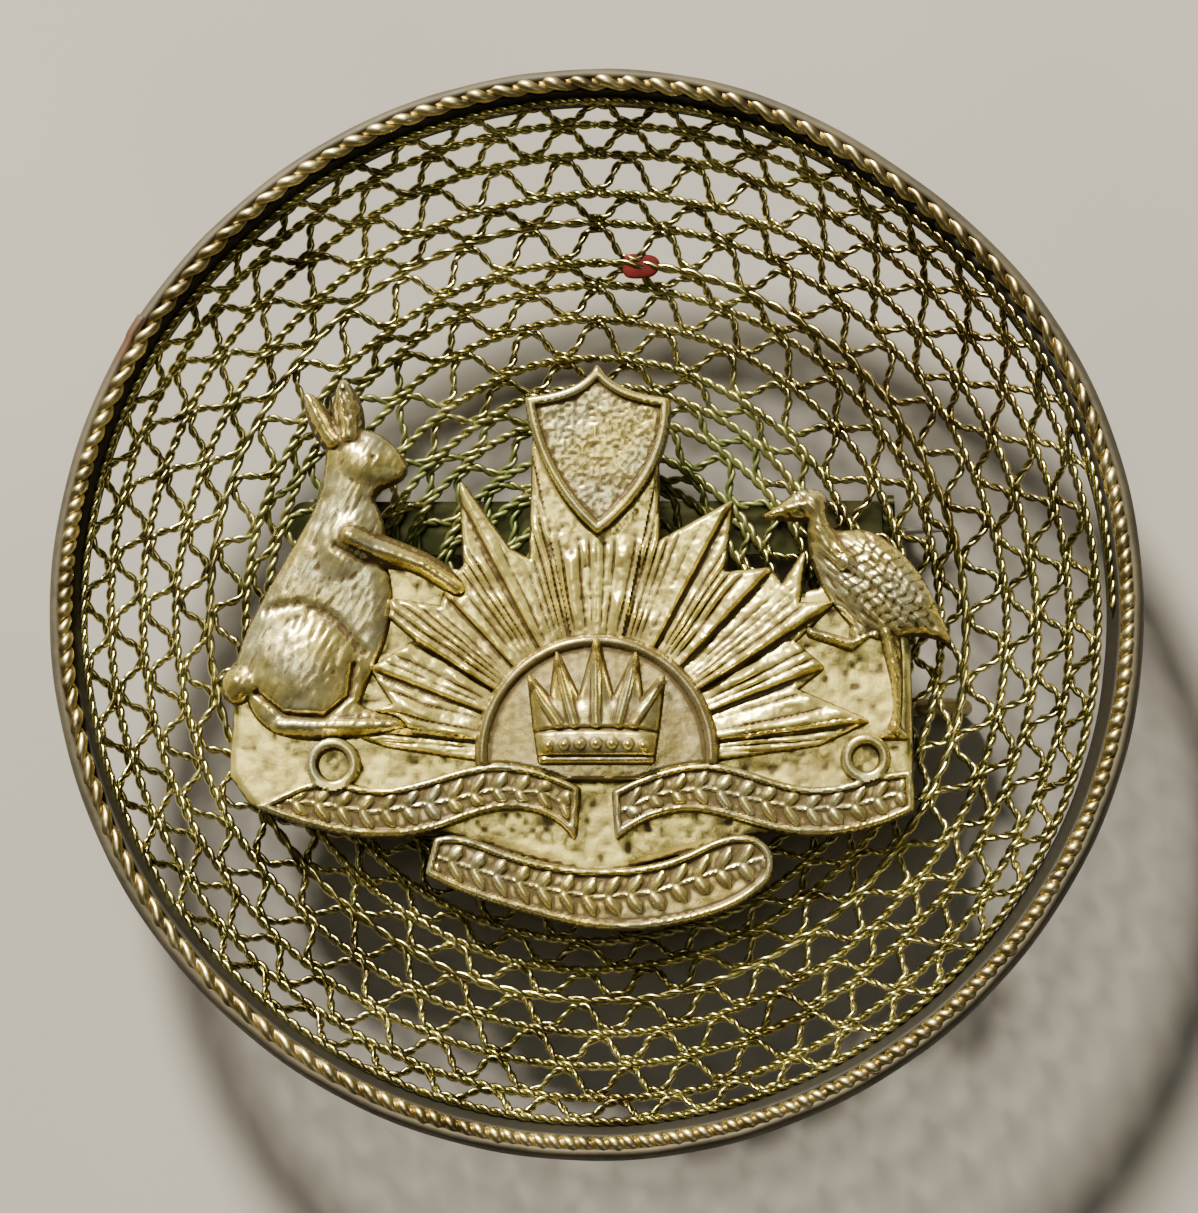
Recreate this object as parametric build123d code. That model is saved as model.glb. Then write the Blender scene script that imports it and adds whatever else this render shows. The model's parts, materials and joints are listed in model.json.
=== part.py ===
from build123d import *
import math
import os

# A struck emblem on a dish of twisted wirework, made up as a brooch. Millimetres.
# The badge lies on its back: +Z is the way its face looks, +Y is the emblem's top.
# The origin is on the dish's axis, level with the lowest point of the back fittings.

# --- driving dimensions ------------------------------------------------------------------

RIM_RADIUS = 24.0            # outside of the rim channel
RIM_HEIGHT = 1.85            # channel's height
RIM_WALL = 0.28              # channel's strip thickness
RIM_SHOULDER = 1.0           # height at which the outer wall starts to lean in
RIM_CREST_RADIUS = 23.8      # outside of the outer wall at its top
RIM_FOOT_BORE = 22.35        # inside of the inner wall at its foot
RIM_LIP_BORE = 22.8          # and at its top
RIM_LIP_HEIGHT = 1.25
RIM_SEAM_ANGLE = 300.5       # degrees clockwise from the top, where the strip's ends meet
RIM_SEAM_GAP = 0.35          # degrees
ROPE_RADIUS = 0.32           # heavy twisted wire on the channel's inner wall
ROPE_MIDDLE = 23.2           # radius of its centre line
ROPE_SINK = 0.25             # its centre line's depth below the channel's top

WIRE_RADIUS = 0.15           # twisted wire of the spiral
CRIMP_RADIUS = 0.12          # crimped wire between the turns
CRIMP_HALF_PITCH = 1.37      # along the row, from an inner bend to the next outer bend
CRIMP_GAP = 0.02             # solder gap between a bend and the turn that it meets
SHORTEST_RUN = 3             # crimped bends, below which a cut-off run is left out

# Radii of the spiral at the top of the dish, from its first turn to the rim.
TURN_RADII = (1.6, 2.7, 4.0, 5.1, 6.6, 7.7, 9.3, 10.4, 11.6,
              13.4, 14.9, 15.8, 17.6, 18.8, 20.4, 21.6, 22.5)
BOTTOM_SHIFT = 0.2           # the turns pass this much further out at the bottom
TAIL_LENGTH = 0.25           # the last turn's end, tucked inside the rim, as a share of a turn
TAIL_CRIMP = 0.21            # how far the crimped wire follows it
ROW_SLANT = 1.85             # full width of a row of crimped wire
STEEPNESS = 0.7              # how much of a narrow row's missing width is height

MESH_FLOOR = 3.2             # height of the first turn's centre line
EMBLEM_BACK = 6.2            # back of the backing plate
PLATE_THICKNESS = 0.7
SUNBURST_THICKNESS = 0.8
BOSS_THICKNESS = 0.5
CORONET_THICKNESS = 0.7
SHIELD_THICKNESS = 1.3
SUPPORTER_THICKNESS = 1.2
SCROLL_THICKNESS = 1.25

BOSS_CENTRE = (0.0, -6.2)
BOSS_RADIUS = 5.3
CURL_WALL = 0.42             # width of the ring at a scroll's rolled end

LUG_LEFT = (-11.43, -3.8)
LUG_RIGHT = (12.42, -3.8)
LUG_WIRE_RADIUS = 0.4
LUG_EYE_RADIUS = 0.95        # centre line of the eye
LUG_HEIGHT = LUG_WIRE_RADIUS + LUG_EYE_RADIUS
LUG_CLEARANCE = 0.25         # between a lug's shank and the crimped wire that makes way for it

SPLIT_PIN_RADIUS = 0.45
SPLIT_PIN_SLIT = 0.12
SPLIT_PIN_END = 2.0          # how far it stands out past each lug
SPLIT_PIN_EYE_RADIUS = 0.95

PIN_LINE_Y = 4.2             # the brooch pin lies along this line
PIN_LINE_Z = 1.25
HINGE_X = -12.5
CATCH_X = 12.0
PIN_RADIUS = 0.4
PIN_NECK_RADIUS = 0.3        # where the slow taper ends and the point starts
PIN_NECK_MARGIN = 0.8        # from the taper's start to the catch
PIN_POINT_LENGTH = 3.0
PIN_POINT_SHARE = 0.15       # the point's end radius, as a share of the neck's
PIN_OVERHANG = 3.6           # from the catch to the point
KNUCKLE_RADIUS = 0.95
KNUCKLE_WIDTH = 1.2
KNUCKLE_CLEARANCE = 0.05
RIVET_RADIUS = 0.4
RIVET_CLEARANCE = 0.04
RIVET_HEAD_RADIUS = 0.65
RIVET_HEAD_HEIGHT = 0.3
CHEEK_THICKNESS = 0.5
CHEEK_RADIUS = 1.0

BAR_WIDTH = 2.4
BAR_THICKNESS = 0.55
BAR_UNDERSIDE = 2.6
BAR_END_MARGIN = 1.4         # from the hinge's axis to the bar's end
BRACKET_PLATE = 0.35

CATCH_LENGTH = 1.3
CATCH_OUTER_RADIUS = BAR_UNDERSIDE - PIN_LINE_Z
CATCH_BORE_RADIUS = 0.98
CATCH_MOUTH = 1.0
ROTOR_CLEARANCE = 0.04
ROTOR_BORE_RADIUS = 0.52
ROTOR_MOUTH = 0.96
ROTOR_FLANGE_LENGTH = 0.55
ROTOR_TAB_REACH = 2.1
ROTOR_TAB_WIDTH = 0.7
ROTOR_TAB_ANGLE = 50         # degrees above the bar's plane when the catch is open


# --- the dish ----------------------------------------------------------------------------

def row_rise(inner_radius, outer_radius):
    """How much higher a row's outer turn lies than its inner one. Narrow rows are the steep ones."""
    width = outer_radius - inner_radius
    lost = math.sqrt(max(ROW_SLANT**2 - width**2, 0))
    return STEEPNESS * lost * (outer_radius / TURN_RADII[-1]) ** 1.5


def half_turn_points():
    """The spiral's crossings of the dish's vertical axis, as (y, z), top and bottom in turn."""
    heights = [MESH_FLOOR]
    for inner, outer in zip(TURN_RADII, TURN_RADII[1:]):
        heights.append(heights[-1] + row_rise(inner, outer))
    points = []
    for i, (radius, height) in enumerate(zip(TURN_RADII, heights)):
        points.append((radius, height))
        if i + 1 < len(TURN_RADII):
            bottom = (radius + TURN_RADII[i + 1]) / 2 + BOTTOM_SHIFT
            points.append((-bottom, (height + heights[i + 1]) / 2))
    points.append((-TURN_RADII[-1], heights[-1]))
    return points


CROSSINGS = half_turn_points()
TURNS = len(TURN_RADII) - 1
RIM_BOTTOM = CROSSINGS[-1][1] - RIM_HEIGHT / 2


def spiral_point(turns):
    """Centre line of the spiral wire after so many turns, each half turn a tilted half circle."""
    half = min(int(2 * turns), len(CROSSINGS) - 2)
    (y0, z0), (y1, z1) = CROSSINGS[half], CROSSINGS[half + 1]
    angle = math.pi * (2 * turns - half)
    across = abs(y0 - y1) / 2
    side = 1 if y0 > 0 else -1
    done = (1 - math.cos(angle)) / 2
    return Vector(side * across * math.sin(angle), y0 + (y1 - y0) * done, z0 + (z1 - z0) * done)


def wire_turn(turn):
    """One turn of the spiral wire, as two half circles end to end. The last has a tail."""
    stretches = [(turn, turn + 0.5), (turn + 0.5, turn + 1)]
    if turn == TURNS - 1:
        stretches.append((TURNS, TURNS + TAIL_LENGTH))
    arcs = []
    for start, end in stretches:
        arcs.append(ThreePointArc(*[spiral_point(t) for t in (start, (start + end) / 2, end)]))
    path = Wire(arcs)
    section = Plane(origin=path @ 0, z_dir=path % 0) * Circle(WIRE_RADIUS)
    return sweep(section, path=path)


def bend_point(turns, outward):
    """A bend of the crimped wire, just clear of the turn that it is soldered to."""
    inner = spiral_point(turns)
    outer = spiral_point(turns + 1)
    across = outer - inner
    point_reach = CRIMP_RADIUS * math.hypot(CRIMP_HALF_PITCH, across.length) / CRIMP_HALF_PITCH
    inset = across.normalized() * (WIRE_RADIUS + point_reach + CRIMP_GAP)
    return outer - inset if outward else inner + inset


def passes_lug(start, end):
    """Whether the run between two bends would come too near a lug's shank."""
    room = LUG_WIRE_RADIUS + CRIMP_RADIUS + LUG_CLEARANCE
    for x, y in (LUG_LEFT, LUG_RIGHT):
        shank = Vector(x, y, 0)
        flat_start = Vector(start.X, start.Y, 0)
        flat_end = Vector(end.X, end.Y, 0)
        along = flat_end - flat_start
        share = (shank - flat_start).dot(along) / along.dot(along)
        nearest = flat_start + along * min(max(share, 0), 1)
        if (shank - nearest).length < room:
            return True
    return False


def crimp_row(row):
    """The crimped wire between turn `row` and the next, left open where a lug comes through."""
    length = math.pi * (TURN_RADII[row] + TURN_RADII[row + 1])
    count = max(round(length / CRIMP_HALF_PITCH), 6)
    last = round(count * (1 + TAIL_CRIMP)) if row == TURNS - 2 else count
    bends = [bend_point(row + (i + 0.5) / count, i % 2 == 1) for i in range(last)]
    runs = [[bends[0]]]
    for start, end in zip(bends, bends[1:]):
        if passes_lug(start, end):
            runs.append([end])
        else:
            runs[-1].append(end)
    solids = []
    for run in runs:
        if len(run) < SHORTEST_RUN:
            continue
        path = Polyline(*run)
        section = Plane(origin=path @ 0, z_dir=path % 0) * Circle(CRIMP_RADIUS)
        solids.append(sweep(section, path=path, transition=Transition.RIGHT).solid())
    return Compound(solids)


def rim_channel():
    """The folded strip: a leaning outer wall, a flat base and a lower inner wall that flares out
    upwards, open by a hair at its seam."""
    lip = (RIM_LIP_BORE, RIM_LIP_HEIGHT)
    foot = (RIM_FOOT_BORE, 0)
    heel = (RIM_RADIUS, 0)
    shoulder = (RIM_RADIUS, RIM_SHOULDER)
    crest = (RIM_CREST_RADIUS, RIM_HEIGHT)
    outside = [lip, foot, heel, shoulder, crest]
    inside = [
        (RIM_CREST_RADIUS - RIM_WALL, RIM_HEIGHT),
        (RIM_RADIUS - RIM_WALL, RIM_SHOULDER),
        (RIM_RADIUS - RIM_WALL, RIM_WALL),
        (RIM_FOOT_BORE + RIM_WALL, RIM_WALL),
        (RIM_LIP_BORE + RIM_WALL, RIM_LIP_HEIGHT),
    ]
    profile = Pos(0, RIM_BOTTOM) * make_face(Polyline(*outside, *inside, close=True))
    folded_edge = profile.vertices().group_by(Axis.Y)[0].sort_by(Axis.X)[-1]
    profile = fillet(folded_edge, RIM_WALL * 0.9)
    channel = revolve(Plane.XZ * profile, Axis.Z, 360 - RIM_SEAM_GAP)
    return Rot(0, 0, 90 - RIM_SEAM_ANGLE) * channel


def rim_rope():
    """The heavy twisted wire on the channel's inner wall, as the ring that it fills."""
    return Pos(0, 0, RIM_BOTTOM + RIM_HEIGHT - ROPE_SINK) * Torus(ROPE_MIDDLE, ROPE_RADIUS)


# --- outlines of the emblem ---------------------------------------------------------------

def outline(*runs):
    """A closed face. Each run starts where the last one ended: one point is a straight side,
    and more are a smooth curve through them."""
    start = runs[0][0]
    edges = []
    last = start
    for points in (runs[0][1:],) + runs[1:]:
        edges.append(Spline(last, *points) if len(points) > 1 else Line(last, points[0]))
        last = points[-1]
    if (Vector(last) - Vector(start)).length > 1e-6:
        edges.append(Line(last, start))
    return make_face(edges)


def shield_face():
    return outline(
        [(0.02, 11.05), (-0.93, 10.1), (-1.8, 9.78), (-3.14, 9.56)],
        [(-2.6, 7.3), (-1.75, 5.6), (0.04, 3.54)],
        [(1.9, 5.4), (2.85, 7.2), (3.19, 9.5)],
        [(1.85, 9.75), (0.98, 10.1), (0.02, 11.05)],
    )


def hare_face():
    """An upright hare that looks right: front ear, face, chest, forelimb, belly, hind foot,
    scut, back and rear ear."""
    return outline(
        [(-11.25, 10.5), (-10.6, 9.6), (-10.4, 8.2)],
        [(-9.6, 7.95), (-8.85, 7.3), (-8.45, 6.55)],
        [(-8.75, 6.05), (-9.5, 5.7), (-9.95, 5.1)],
        [(-9.6, 4.4), (-9.4, 3.5)],
        [(-8.4, 3.1), (-7.0, 2.4), (-5.95, 1.45)],
        [(-5.85, 0.95), (-6.3, 0.85)],
        [(-7.3, 1.5), (-8.5, 2.05), (-9.3, 2.1)],
        [(-9.1, 0.9), (-9.3, -0.8), (-9.9, -2.4), (-10.5, -3.9)],
        [(-9.7, -4.25), (-8.7, -4.5), (-8.3, -5.0)],
        [(-10.5, -5.35), (-12.8, -5.45), (-14.3, -5.1)],
        [(-15.0, -4.5), (-15.4, -3.7)],
        [(-16.2, -3.75), (-16.5, -3.0), (-15.9, -2.3)],
        [(-15.4, -0.7), (-14.2, 1.6), (-13.1, 3.5), (-12.3, 5.1), (-12.0, 6.4), (-11.95, 7.3)],
        [(-12.7, 8.5), (-12.9, 9.95)],
        [(-12.15, 9.3), (-11.6, 8.35)],
        [(-11.65, 9.4), (-11.25, 10.5)],
    )


def crane_face():
    """A long-legged wading bird that looks left: long beak, thin neck, wing, tail and two legs."""
    return outline(
        [(7.0, 4.3), (8.2, 4.95), (9.0, 5.45), (9.75, 5.45), (10.15, 4.9)],
        [(10.1, 4.2), (10.35, 3.75), (11.4, 3.7), (12.9, 3.1), (14.2, 1.7), (15.0, 0.2), (15.6, -1.3)],
        [(14.5, -0.9), (13.3, -0.95)],
        [(13.4, -2.7), (13.3, -4.9)],
        [(13.75, -5.5)],
        [(12.2, -5.5)],
        [(12.85, -4.9), (12.95, -2.9), (12.55, -1.1)],
        [(12.0, -0.95)],
        [(11.2, -1.6)],
        [(9.3, -0.95)],
        [(9.2, -0.55)],
        [(11.1, -1.1)],
        [(11.2, -0.5)],
        [(10.4, 0.5), (9.75, 1.7), (9.4, 3.0), (9.35, 4.2)],
        [(8.6, 4.25)],
    )


def curl(x, y, radius):
    return Pos(x, y) * (Circle(radius) - Circle(radius - CURL_WALL))


def left_scroll_face():
    band = outline(
        [(-13.2, -7.6), (-12.2, -7.35), (-9.7, -7.65), (-6.5, -7.0), (-4.3, -6.6), (-2.3, -6.95),
         (-0.75, -7.65)],
        [(-0.95, -10.0)],
        [(-2.0, -8.95), (-3.7, -8.55), (-5.4, -8.85), (-7.1, -9.45), (-9.9, -9.75), (-12.7, -9.25),
         (-15.0, -8.45)],
    )
    return band + curl(-11.6, -6.6, 1.15)


def right_scroll_face():
    band = outline(
        [(13.8, -6.9), (12.2, -7.15), (9.7, -7.65), (7.1, -7.1), (5.2, -6.6), (3.2, -6.8), (0.7, -7.8)],
        [(0.84, -9.95)],
        [(2.4, -8.95), (4.3, -8.65), (6.2, -9.05), (8.3, -9.6), (10.5, -9.65), (12.8, -9.1),
         (13.9, -8.6)],
    )
    return band + curl(11.8, -6.35, 1.05)


def lower_scroll_face():
    return outline(
        [(-7.1, -9.85), (-6.4, -9.75), (-4.3, -10.35), (-0.9, -11.15), (0.9, -11.2), (3.8, -10.6),
         (6.0, -9.75), (7.0, -9.85)],
        [(7.7, -10.7), (7.5, -11.7)],
        [(6.0, -12.8), (3.8, -13.5), (0.35, -13.8), (-2.6, -13.2), (-5.4, -12.35), (-7.5, -11.4)],
    )


def ray_star_face():
    """The rays' outer edge, from the middle ray clockwise round to the other side."""
    return make_face(Polyline(
        (-2.8, 8.2), (2.65, 8.2), (2.72, 3.25),
        (6.0, 5.05), (5.6, 1.85),
        (7.6, 2.05), (8.15, 1.3),
        (9.2, 2.9), (8.9, 0.5),
        (10.5, 0.55), (8.7, -1.2),
        (10.0, -2.35), (8.8, -3.3),
        (12.0, -4.7), (9.8, -5.75),
        (5.3, -6.4), (5.0, -7.3), (-5.0, -7.3), (-5.3, -6.4),
        (-9.2, -5.8), (-12.0, -4.9),
        (-9.0, -3.9), (-10.0, -2.35),
        (-8.0, -1.1), (-10.3, 0.9),
        (-6.9, 0.4), (-6.6, 1.5), (-5.85, 2.2),
        (-6.06, 6.0), (-3.85, 2.9), (-2.95, 2.45),
        close=True,
    ))


def ground_face():
    """The plate's own corners, below the animals and behind the bands."""
    return make_face(Polyline(
        (-15.95, -2.7), (-16.2, -7.0), (-15.3, -8.3), (-13.0, -9.1), (-7.0, -9.5), (0.0, -11.4),
        (7.0, -9.6), (13.9, -8.6), (13.75, -1.2), (11.5, 1.5), (9.0, 1.0), (5.0, 0.0), (-6.0, 2.0),
        (-7.4, 2.2), (-10.4, 3.5), (-13.0, 1.0),
        close=True,
    ))


def boss_face():
    centre = Pos(*BOSS_CENTRE)
    lower_half = Pos(0, -BOSS_RADIUS / 2 - 1.1) * Rectangle(2 * BOSS_RADIUS, BOSS_RADIUS)
    return centre * (Circle(BOSS_RADIUS) - lower_half)


def coronet_face():
    """A plain coronet of five leaf points on a band."""
    points = [(-2.5, -6.6), (-2.75, -4.9)]
    tips = ((-3.0, -2.6), (-1.75, -1.6), (0.0, -0.9), (1.75, -1.6), (3.0, -2.6))
    for i, tip in enumerate(tips):
        points.append(tip)
        if i + 1 < len(tips):
            notch_x = (tip[0] + tips[i + 1][0]) / 2 * 0.85
            points.append((notch_x, -3.7))
    points += [(2.75, -4.9), (2.5, -6.6)]
    return make_face(Polyline(*points, close=True))


# --- the emblem's pieces --------------------------------------------------------------------

def largest(face):
    """A cut face without the crumbs that the cutting leaves."""
    return face.faces().sort_by(SortBy.AREA)[-1]


def emblem_pieces():
    scrolls = {
        "left_scroll": left_scroll_face(),
        "right_scroll": right_scroll_face(),
        "lower_scroll": lower_scroll_face(),
    }
    hare, crane, shield = hare_face(), crane_face(), shield_face()
    ground = ground_face() + ray_star_face() + hare + crane + shield
    over_plate = dict(scrolls)
    for face in scrolls.values():
        ground = ground + face
        hare = hare - face
        crane = crane - face
    star = ray_star_face() - hare - crane - shield
    boss = boss_face()
    coronet = coronet_face()
    for face in scrolls.values():
        star = star - face
        boss = boss - face
        coronet = coronet - face
    over_plate["left_supporter"] = largest(hare)
    over_plate["right_supporter"] = largest(crane)
    over_plate["shield"] = shield
    over_plate["sunburst"] = largest(star)
    thickness = {
        "sunburst": SUNBURST_THICKNESS,
        "shield": SHIELD_THICKNESS,
        "left_supporter": SUPPORTER_THICKNESS,
        "right_supporter": SUPPORTER_THICKNESS,
        "left_scroll": SCROLL_THICKNESS,
        "right_scroll": SCROLL_THICKNESS,
        "lower_scroll": SCROLL_THICKNESS,
    }
    plate_top = EMBLEM_BACK + PLATE_THICKNESS
    sunburst_top = plate_top + SUNBURST_THICKNESS
    boss_top = sunburst_top + BOSS_THICKNESS
    pieces = {
        "backing_plate": Pos(0, 0, EMBLEM_BACK) * extrude(largest(ground), PLATE_THICKNESS),
        "centre_boss": Pos(0, 0, sunburst_top) * extrude(largest(boss), BOSS_THICKNESS),
        "coronet": Pos(0, 0, boss_top) * extrude(largest(coronet), CORONET_THICKNESS),
    }
    for name, face in over_plate.items():
        pieces[name] = Pos(0, 0, plate_top) * extrude(face, thickness[name])
    return pieces


# --- the emblem's fastening -------------------------------------------------------------------

def lug(x, y):
    """A shank down through the wirework that ends in an eye across the split pin's line."""
    eye = Pos(0, 0, LUG_HEIGHT) * Rot(0, 90, 0) * Torus(LUG_EYE_RADIUS, LUG_WIRE_RADIUS)
    shank_start = LUG_HEIGHT + LUG_EYE_RADIUS
    shank_length = EMBLEM_BACK - shank_start
    shank = Pos(0, 0, shank_start + shank_length / 2) * Cylinder(LUG_WIRE_RADIUS, shank_length)
    return Pos(x, y, 0) * (eye + shank)


def split_pin():
    """A round pin slit down its length, with an eye at its right end to draw it by."""
    left = LUG_LEFT[0] - SPLIT_PIN_END
    right = LUG_RIGHT[0] + SPLIT_PIN_END
    length = right - left
    shank = Pos((left + right) / 2, 0, 0) * Rot(0, 90, 0) * Cylinder(SPLIT_PIN_RADIUS, length)
    slit_length = length - SPLIT_PIN_END
    slit = Pos(left + slit_length / 2, 0, 0) * Box(slit_length, 3 * SPLIT_PIN_RADIUS, SPLIT_PIN_SLIT)
    eye_x = right + SPLIT_PIN_EYE_RADIUS
    eye = Pos(eye_x, 0, 0) * Rot(90, 0, 0) * Torus(SPLIT_PIN_EYE_RADIUS, SPLIT_PIN_RADIUS * 0.85)
    return Pos(0, LUG_LEFT[1], LUG_HEIGHT) * (shank - slit + eye)


# --- the brooch fittings ------------------------------------------------------------------------

def back_bar():
    left = HINGE_X - BAR_END_MARGIN
    right = CATCH_X + CATCH_LENGTH / 2
    bar = Box(right - left, BAR_WIDTH, BAR_THICKNESS)
    bar = fillet(bar.edges().filter_by(Axis.Z), BAR_WIDTH * 0.3)
    return Pos((left + right) / 2, PIN_LINE_Y, BAR_UNDERSIDE + BAR_THICKNESS / 2) * bar


def cross_cylinder(radius, length):
    """A cylinder along Y, centred on the hinge's axis line."""
    return Rot(90, 0, 0) * Cylinder(radius, length)


def hinge_bracket():
    """A U of sheet: a foot on the bar and two round-ended cheeks."""
    half_gap = KNUCKLE_WIDTH / 2 + KNUCKLE_CLEARANCE
    foot_z = BAR_UNDERSIDE - PIN_LINE_Z - BRACKET_PLATE / 2
    width = 2 * (half_gap + CHEEK_THICKNESS)
    foot = Pos(0, 0, foot_z) * Box(2 * CHEEK_RADIUS, width, BRACKET_PLATE)
    bracket = foot
    for side in (-1, 1):
        centre_y = side * (half_gap + CHEEK_THICKNESS / 2)
        rise = BAR_UNDERSIDE - PIN_LINE_Z
        wall = Pos(0, centre_y, rise / 2) * Box(2 * CHEEK_RADIUS, CHEEK_THICKNESS, rise)
        cheek = Pos(0, centre_y, 0) * cross_cylinder(CHEEK_RADIUS, CHEEK_THICKNESS)
        bracket = bracket + wall + cheek
    bracket = bracket - cross_cylinder(RIVET_RADIUS, 2 * width)
    return Pos(HINGE_X, PIN_LINE_Y, PIN_LINE_Z) * bracket


def hinge_rivet():
    """A plain rivet through both cheeks, with a low head each side."""
    reach = KNUCKLE_WIDTH / 2 + KNUCKLE_CLEARANCE + CHEEK_THICKNESS
    rivet = cross_cylinder(RIVET_RADIUS, 2 * reach)
    for side in (-1, 1):
        head = cross_cylinder(RIVET_HEAD_RADIUS, RIVET_HEAD_HEIGHT)
        rivet = rivet + Pos(0, side * (reach + RIVET_HEAD_HEIGHT / 2), 0) * head
    return Pos(HINGE_X, PIN_LINE_Y, PIN_LINE_Z) * rivet


def brooch_pin():
    """A round stem from a drilled knuckle, with a slow taper through the catch and then a point."""
    tip = CATCH_X + PIN_OVERHANG - HINGE_X
    neck_start = CATCH_X - CATCH_LENGTH / 2 - PIN_NECK_MARGIN - HINGE_X
    neck_end = tip - PIN_POINT_LENGTH
    hole = cross_cylinder(RIVET_RADIUS + RIVET_CLEARANCE, 2 * KNUCKLE_WIDTH)
    knuckle = cross_cylinder(KNUCKLE_RADIUS, KNUCKLE_WIDTH)
    shank = Pos(neck_start / 2, 0, 0) * Rot(0, 90, 0) * Cylinder(PIN_RADIUS, neck_start)
    taper = Cone(PIN_RADIUS, PIN_NECK_RADIUS, neck_end - neck_start)
    taper = Pos((neck_start + neck_end) / 2, 0, 0) * Rot(0, 90, 0) * taper
    point_x = neck_end + PIN_POINT_LENGTH / 2
    point = Cone(PIN_NECK_RADIUS, PIN_NECK_RADIUS * PIN_POINT_SHARE, PIN_POINT_LENGTH)
    stem = shank + taper + Pos(point_x, 0, 0) * Rot(0, 90, 0) * point
    return Pos(HINGE_X, PIN_LINE_Y, PIN_LINE_Z) * (knuckle + stem - hole)


def split_sleeve(outer, inner, length, mouth):
    """A tube along X with a slot down its underside."""
    tube = Rot(0, 90, 0) * (Cylinder(outer, length) - Cylinder(inner, length))
    return tube - Pos(0, 0, -outer) * Box(2 * length, mouth, 2 * outer)


def catch_base():
    """A split sleeve on a foot, which the turning sleeve sits in."""
    sleeve = split_sleeve(CATCH_OUTER_RADIUS, CATCH_BORE_RADIUS, CATCH_LENGTH, CATCH_MOUTH)
    foot_height = CATCH_OUTER_RADIUS * 0.35
    foot_width = 1.5 * CATCH_OUTER_RADIUS
    foot_z = CATCH_OUTER_RADIUS - foot_height / 2
    foot = Pos(0, 0, foot_z) * Box(CATCH_LENGTH, foot_width, foot_height)
    bore = Rot(0, 90, 0) * Cylinder(CATCH_BORE_RADIUS, 2 * CATCH_LENGTH)
    return Pos(CATCH_X, PIN_LINE_Y, PIN_LINE_Z) * (sleeve + (foot - bore))


def catch_rotor():
    """The turning sleeve, with a flange and a thumb tab outside the base's right end."""
    radius = CATCH_BORE_RADIUS - ROTOR_CLEARANCE
    sleeve = split_sleeve(radius, ROTOR_BORE_RADIUS, CATCH_LENGTH, ROTOR_MOUTH)
    flange_x = CATCH_LENGTH / 2 + ROTOR_FLANGE_LENGTH / 2
    flange = split_sleeve(CATCH_OUTER_RADIUS, ROTOR_BORE_RADIUS, ROTOR_FLANGE_LENGTH, ROTOR_MOUTH)
    tab_length = ROTOR_TAB_REACH - ROTOR_BORE_RADIUS - 0.1
    tab_middle = ROTOR_TAB_REACH - tab_length / 2
    tab = Box(ROTOR_FLANGE_LENGTH * 0.8, tab_length, ROTOR_TAB_WIDTH)
    tab = fillet(tab.edges().filter_by(Axis.X).group_by(Axis.Y)[-1], ROTOR_TAB_WIDTH * 0.45)
    tab = Rot(ROTOR_TAB_ANGLE, 0, 0) * Pos(0, tab_middle, 0) * tab
    end_gap = Pos(ROTOR_CLEARANCE, 0, 0)
    rotor = sleeve + end_gap * Pos(flange_x, 0, 0) * (flange + tab)
    bridge_x = CATCH_LENGTH / 2 + ROTOR_CLEARANCE / 2
    bridge = split_sleeve(radius, ROTOR_BORE_RADIUS, 2 * ROTOR_CLEARANCE, ROTOR_MOUTH)
    return Pos(CATCH_X, PIN_LINE_Y, PIN_LINE_Z) * (rotor + Pos(bridge_x, 0, 0) * bridge)


# --- write ------------------------------------------------------------------------------------

def all_pieces():
    pieces = {"rim_channel": rim_channel(), "rim_rope": rim_rope()}
    for turn in range(TURNS):
        pieces[f"wire_turn_{turn + 1:02d}"] = wire_turn(turn)
    for row in range(TURNS - 1):
        pieces[f"crimp_row_{row + 1:02d}"] = crimp_row(row)
    pieces.update(emblem_pieces())
    pieces["lug_left"] = lug(*LUG_LEFT)
    pieces["lug_right"] = lug(*LUG_RIGHT)
    pieces["split_pin"] = split_pin()
    pieces["back_bar"] = back_bar()
    pieces["hinge_bracket"] = hinge_bracket()
    pieces["hinge_rivet"] = hinge_rivet()
    pieces["brooch_pin"] = brooch_pin()
    pieces["catch_base"] = catch_base()
    pieces["catch_rotor"] = catch_rotor()
    return pieces


os.makedirs("parts", exist_ok=True)
for name, shape in all_pieces().items():
    export_step(shape, f"parts/{name}.step")
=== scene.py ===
import json
import math

import bpy
import numpy as np
from mathutils import Matrix, Vector
from mathutils.geometry import tessellate_polygon

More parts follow.
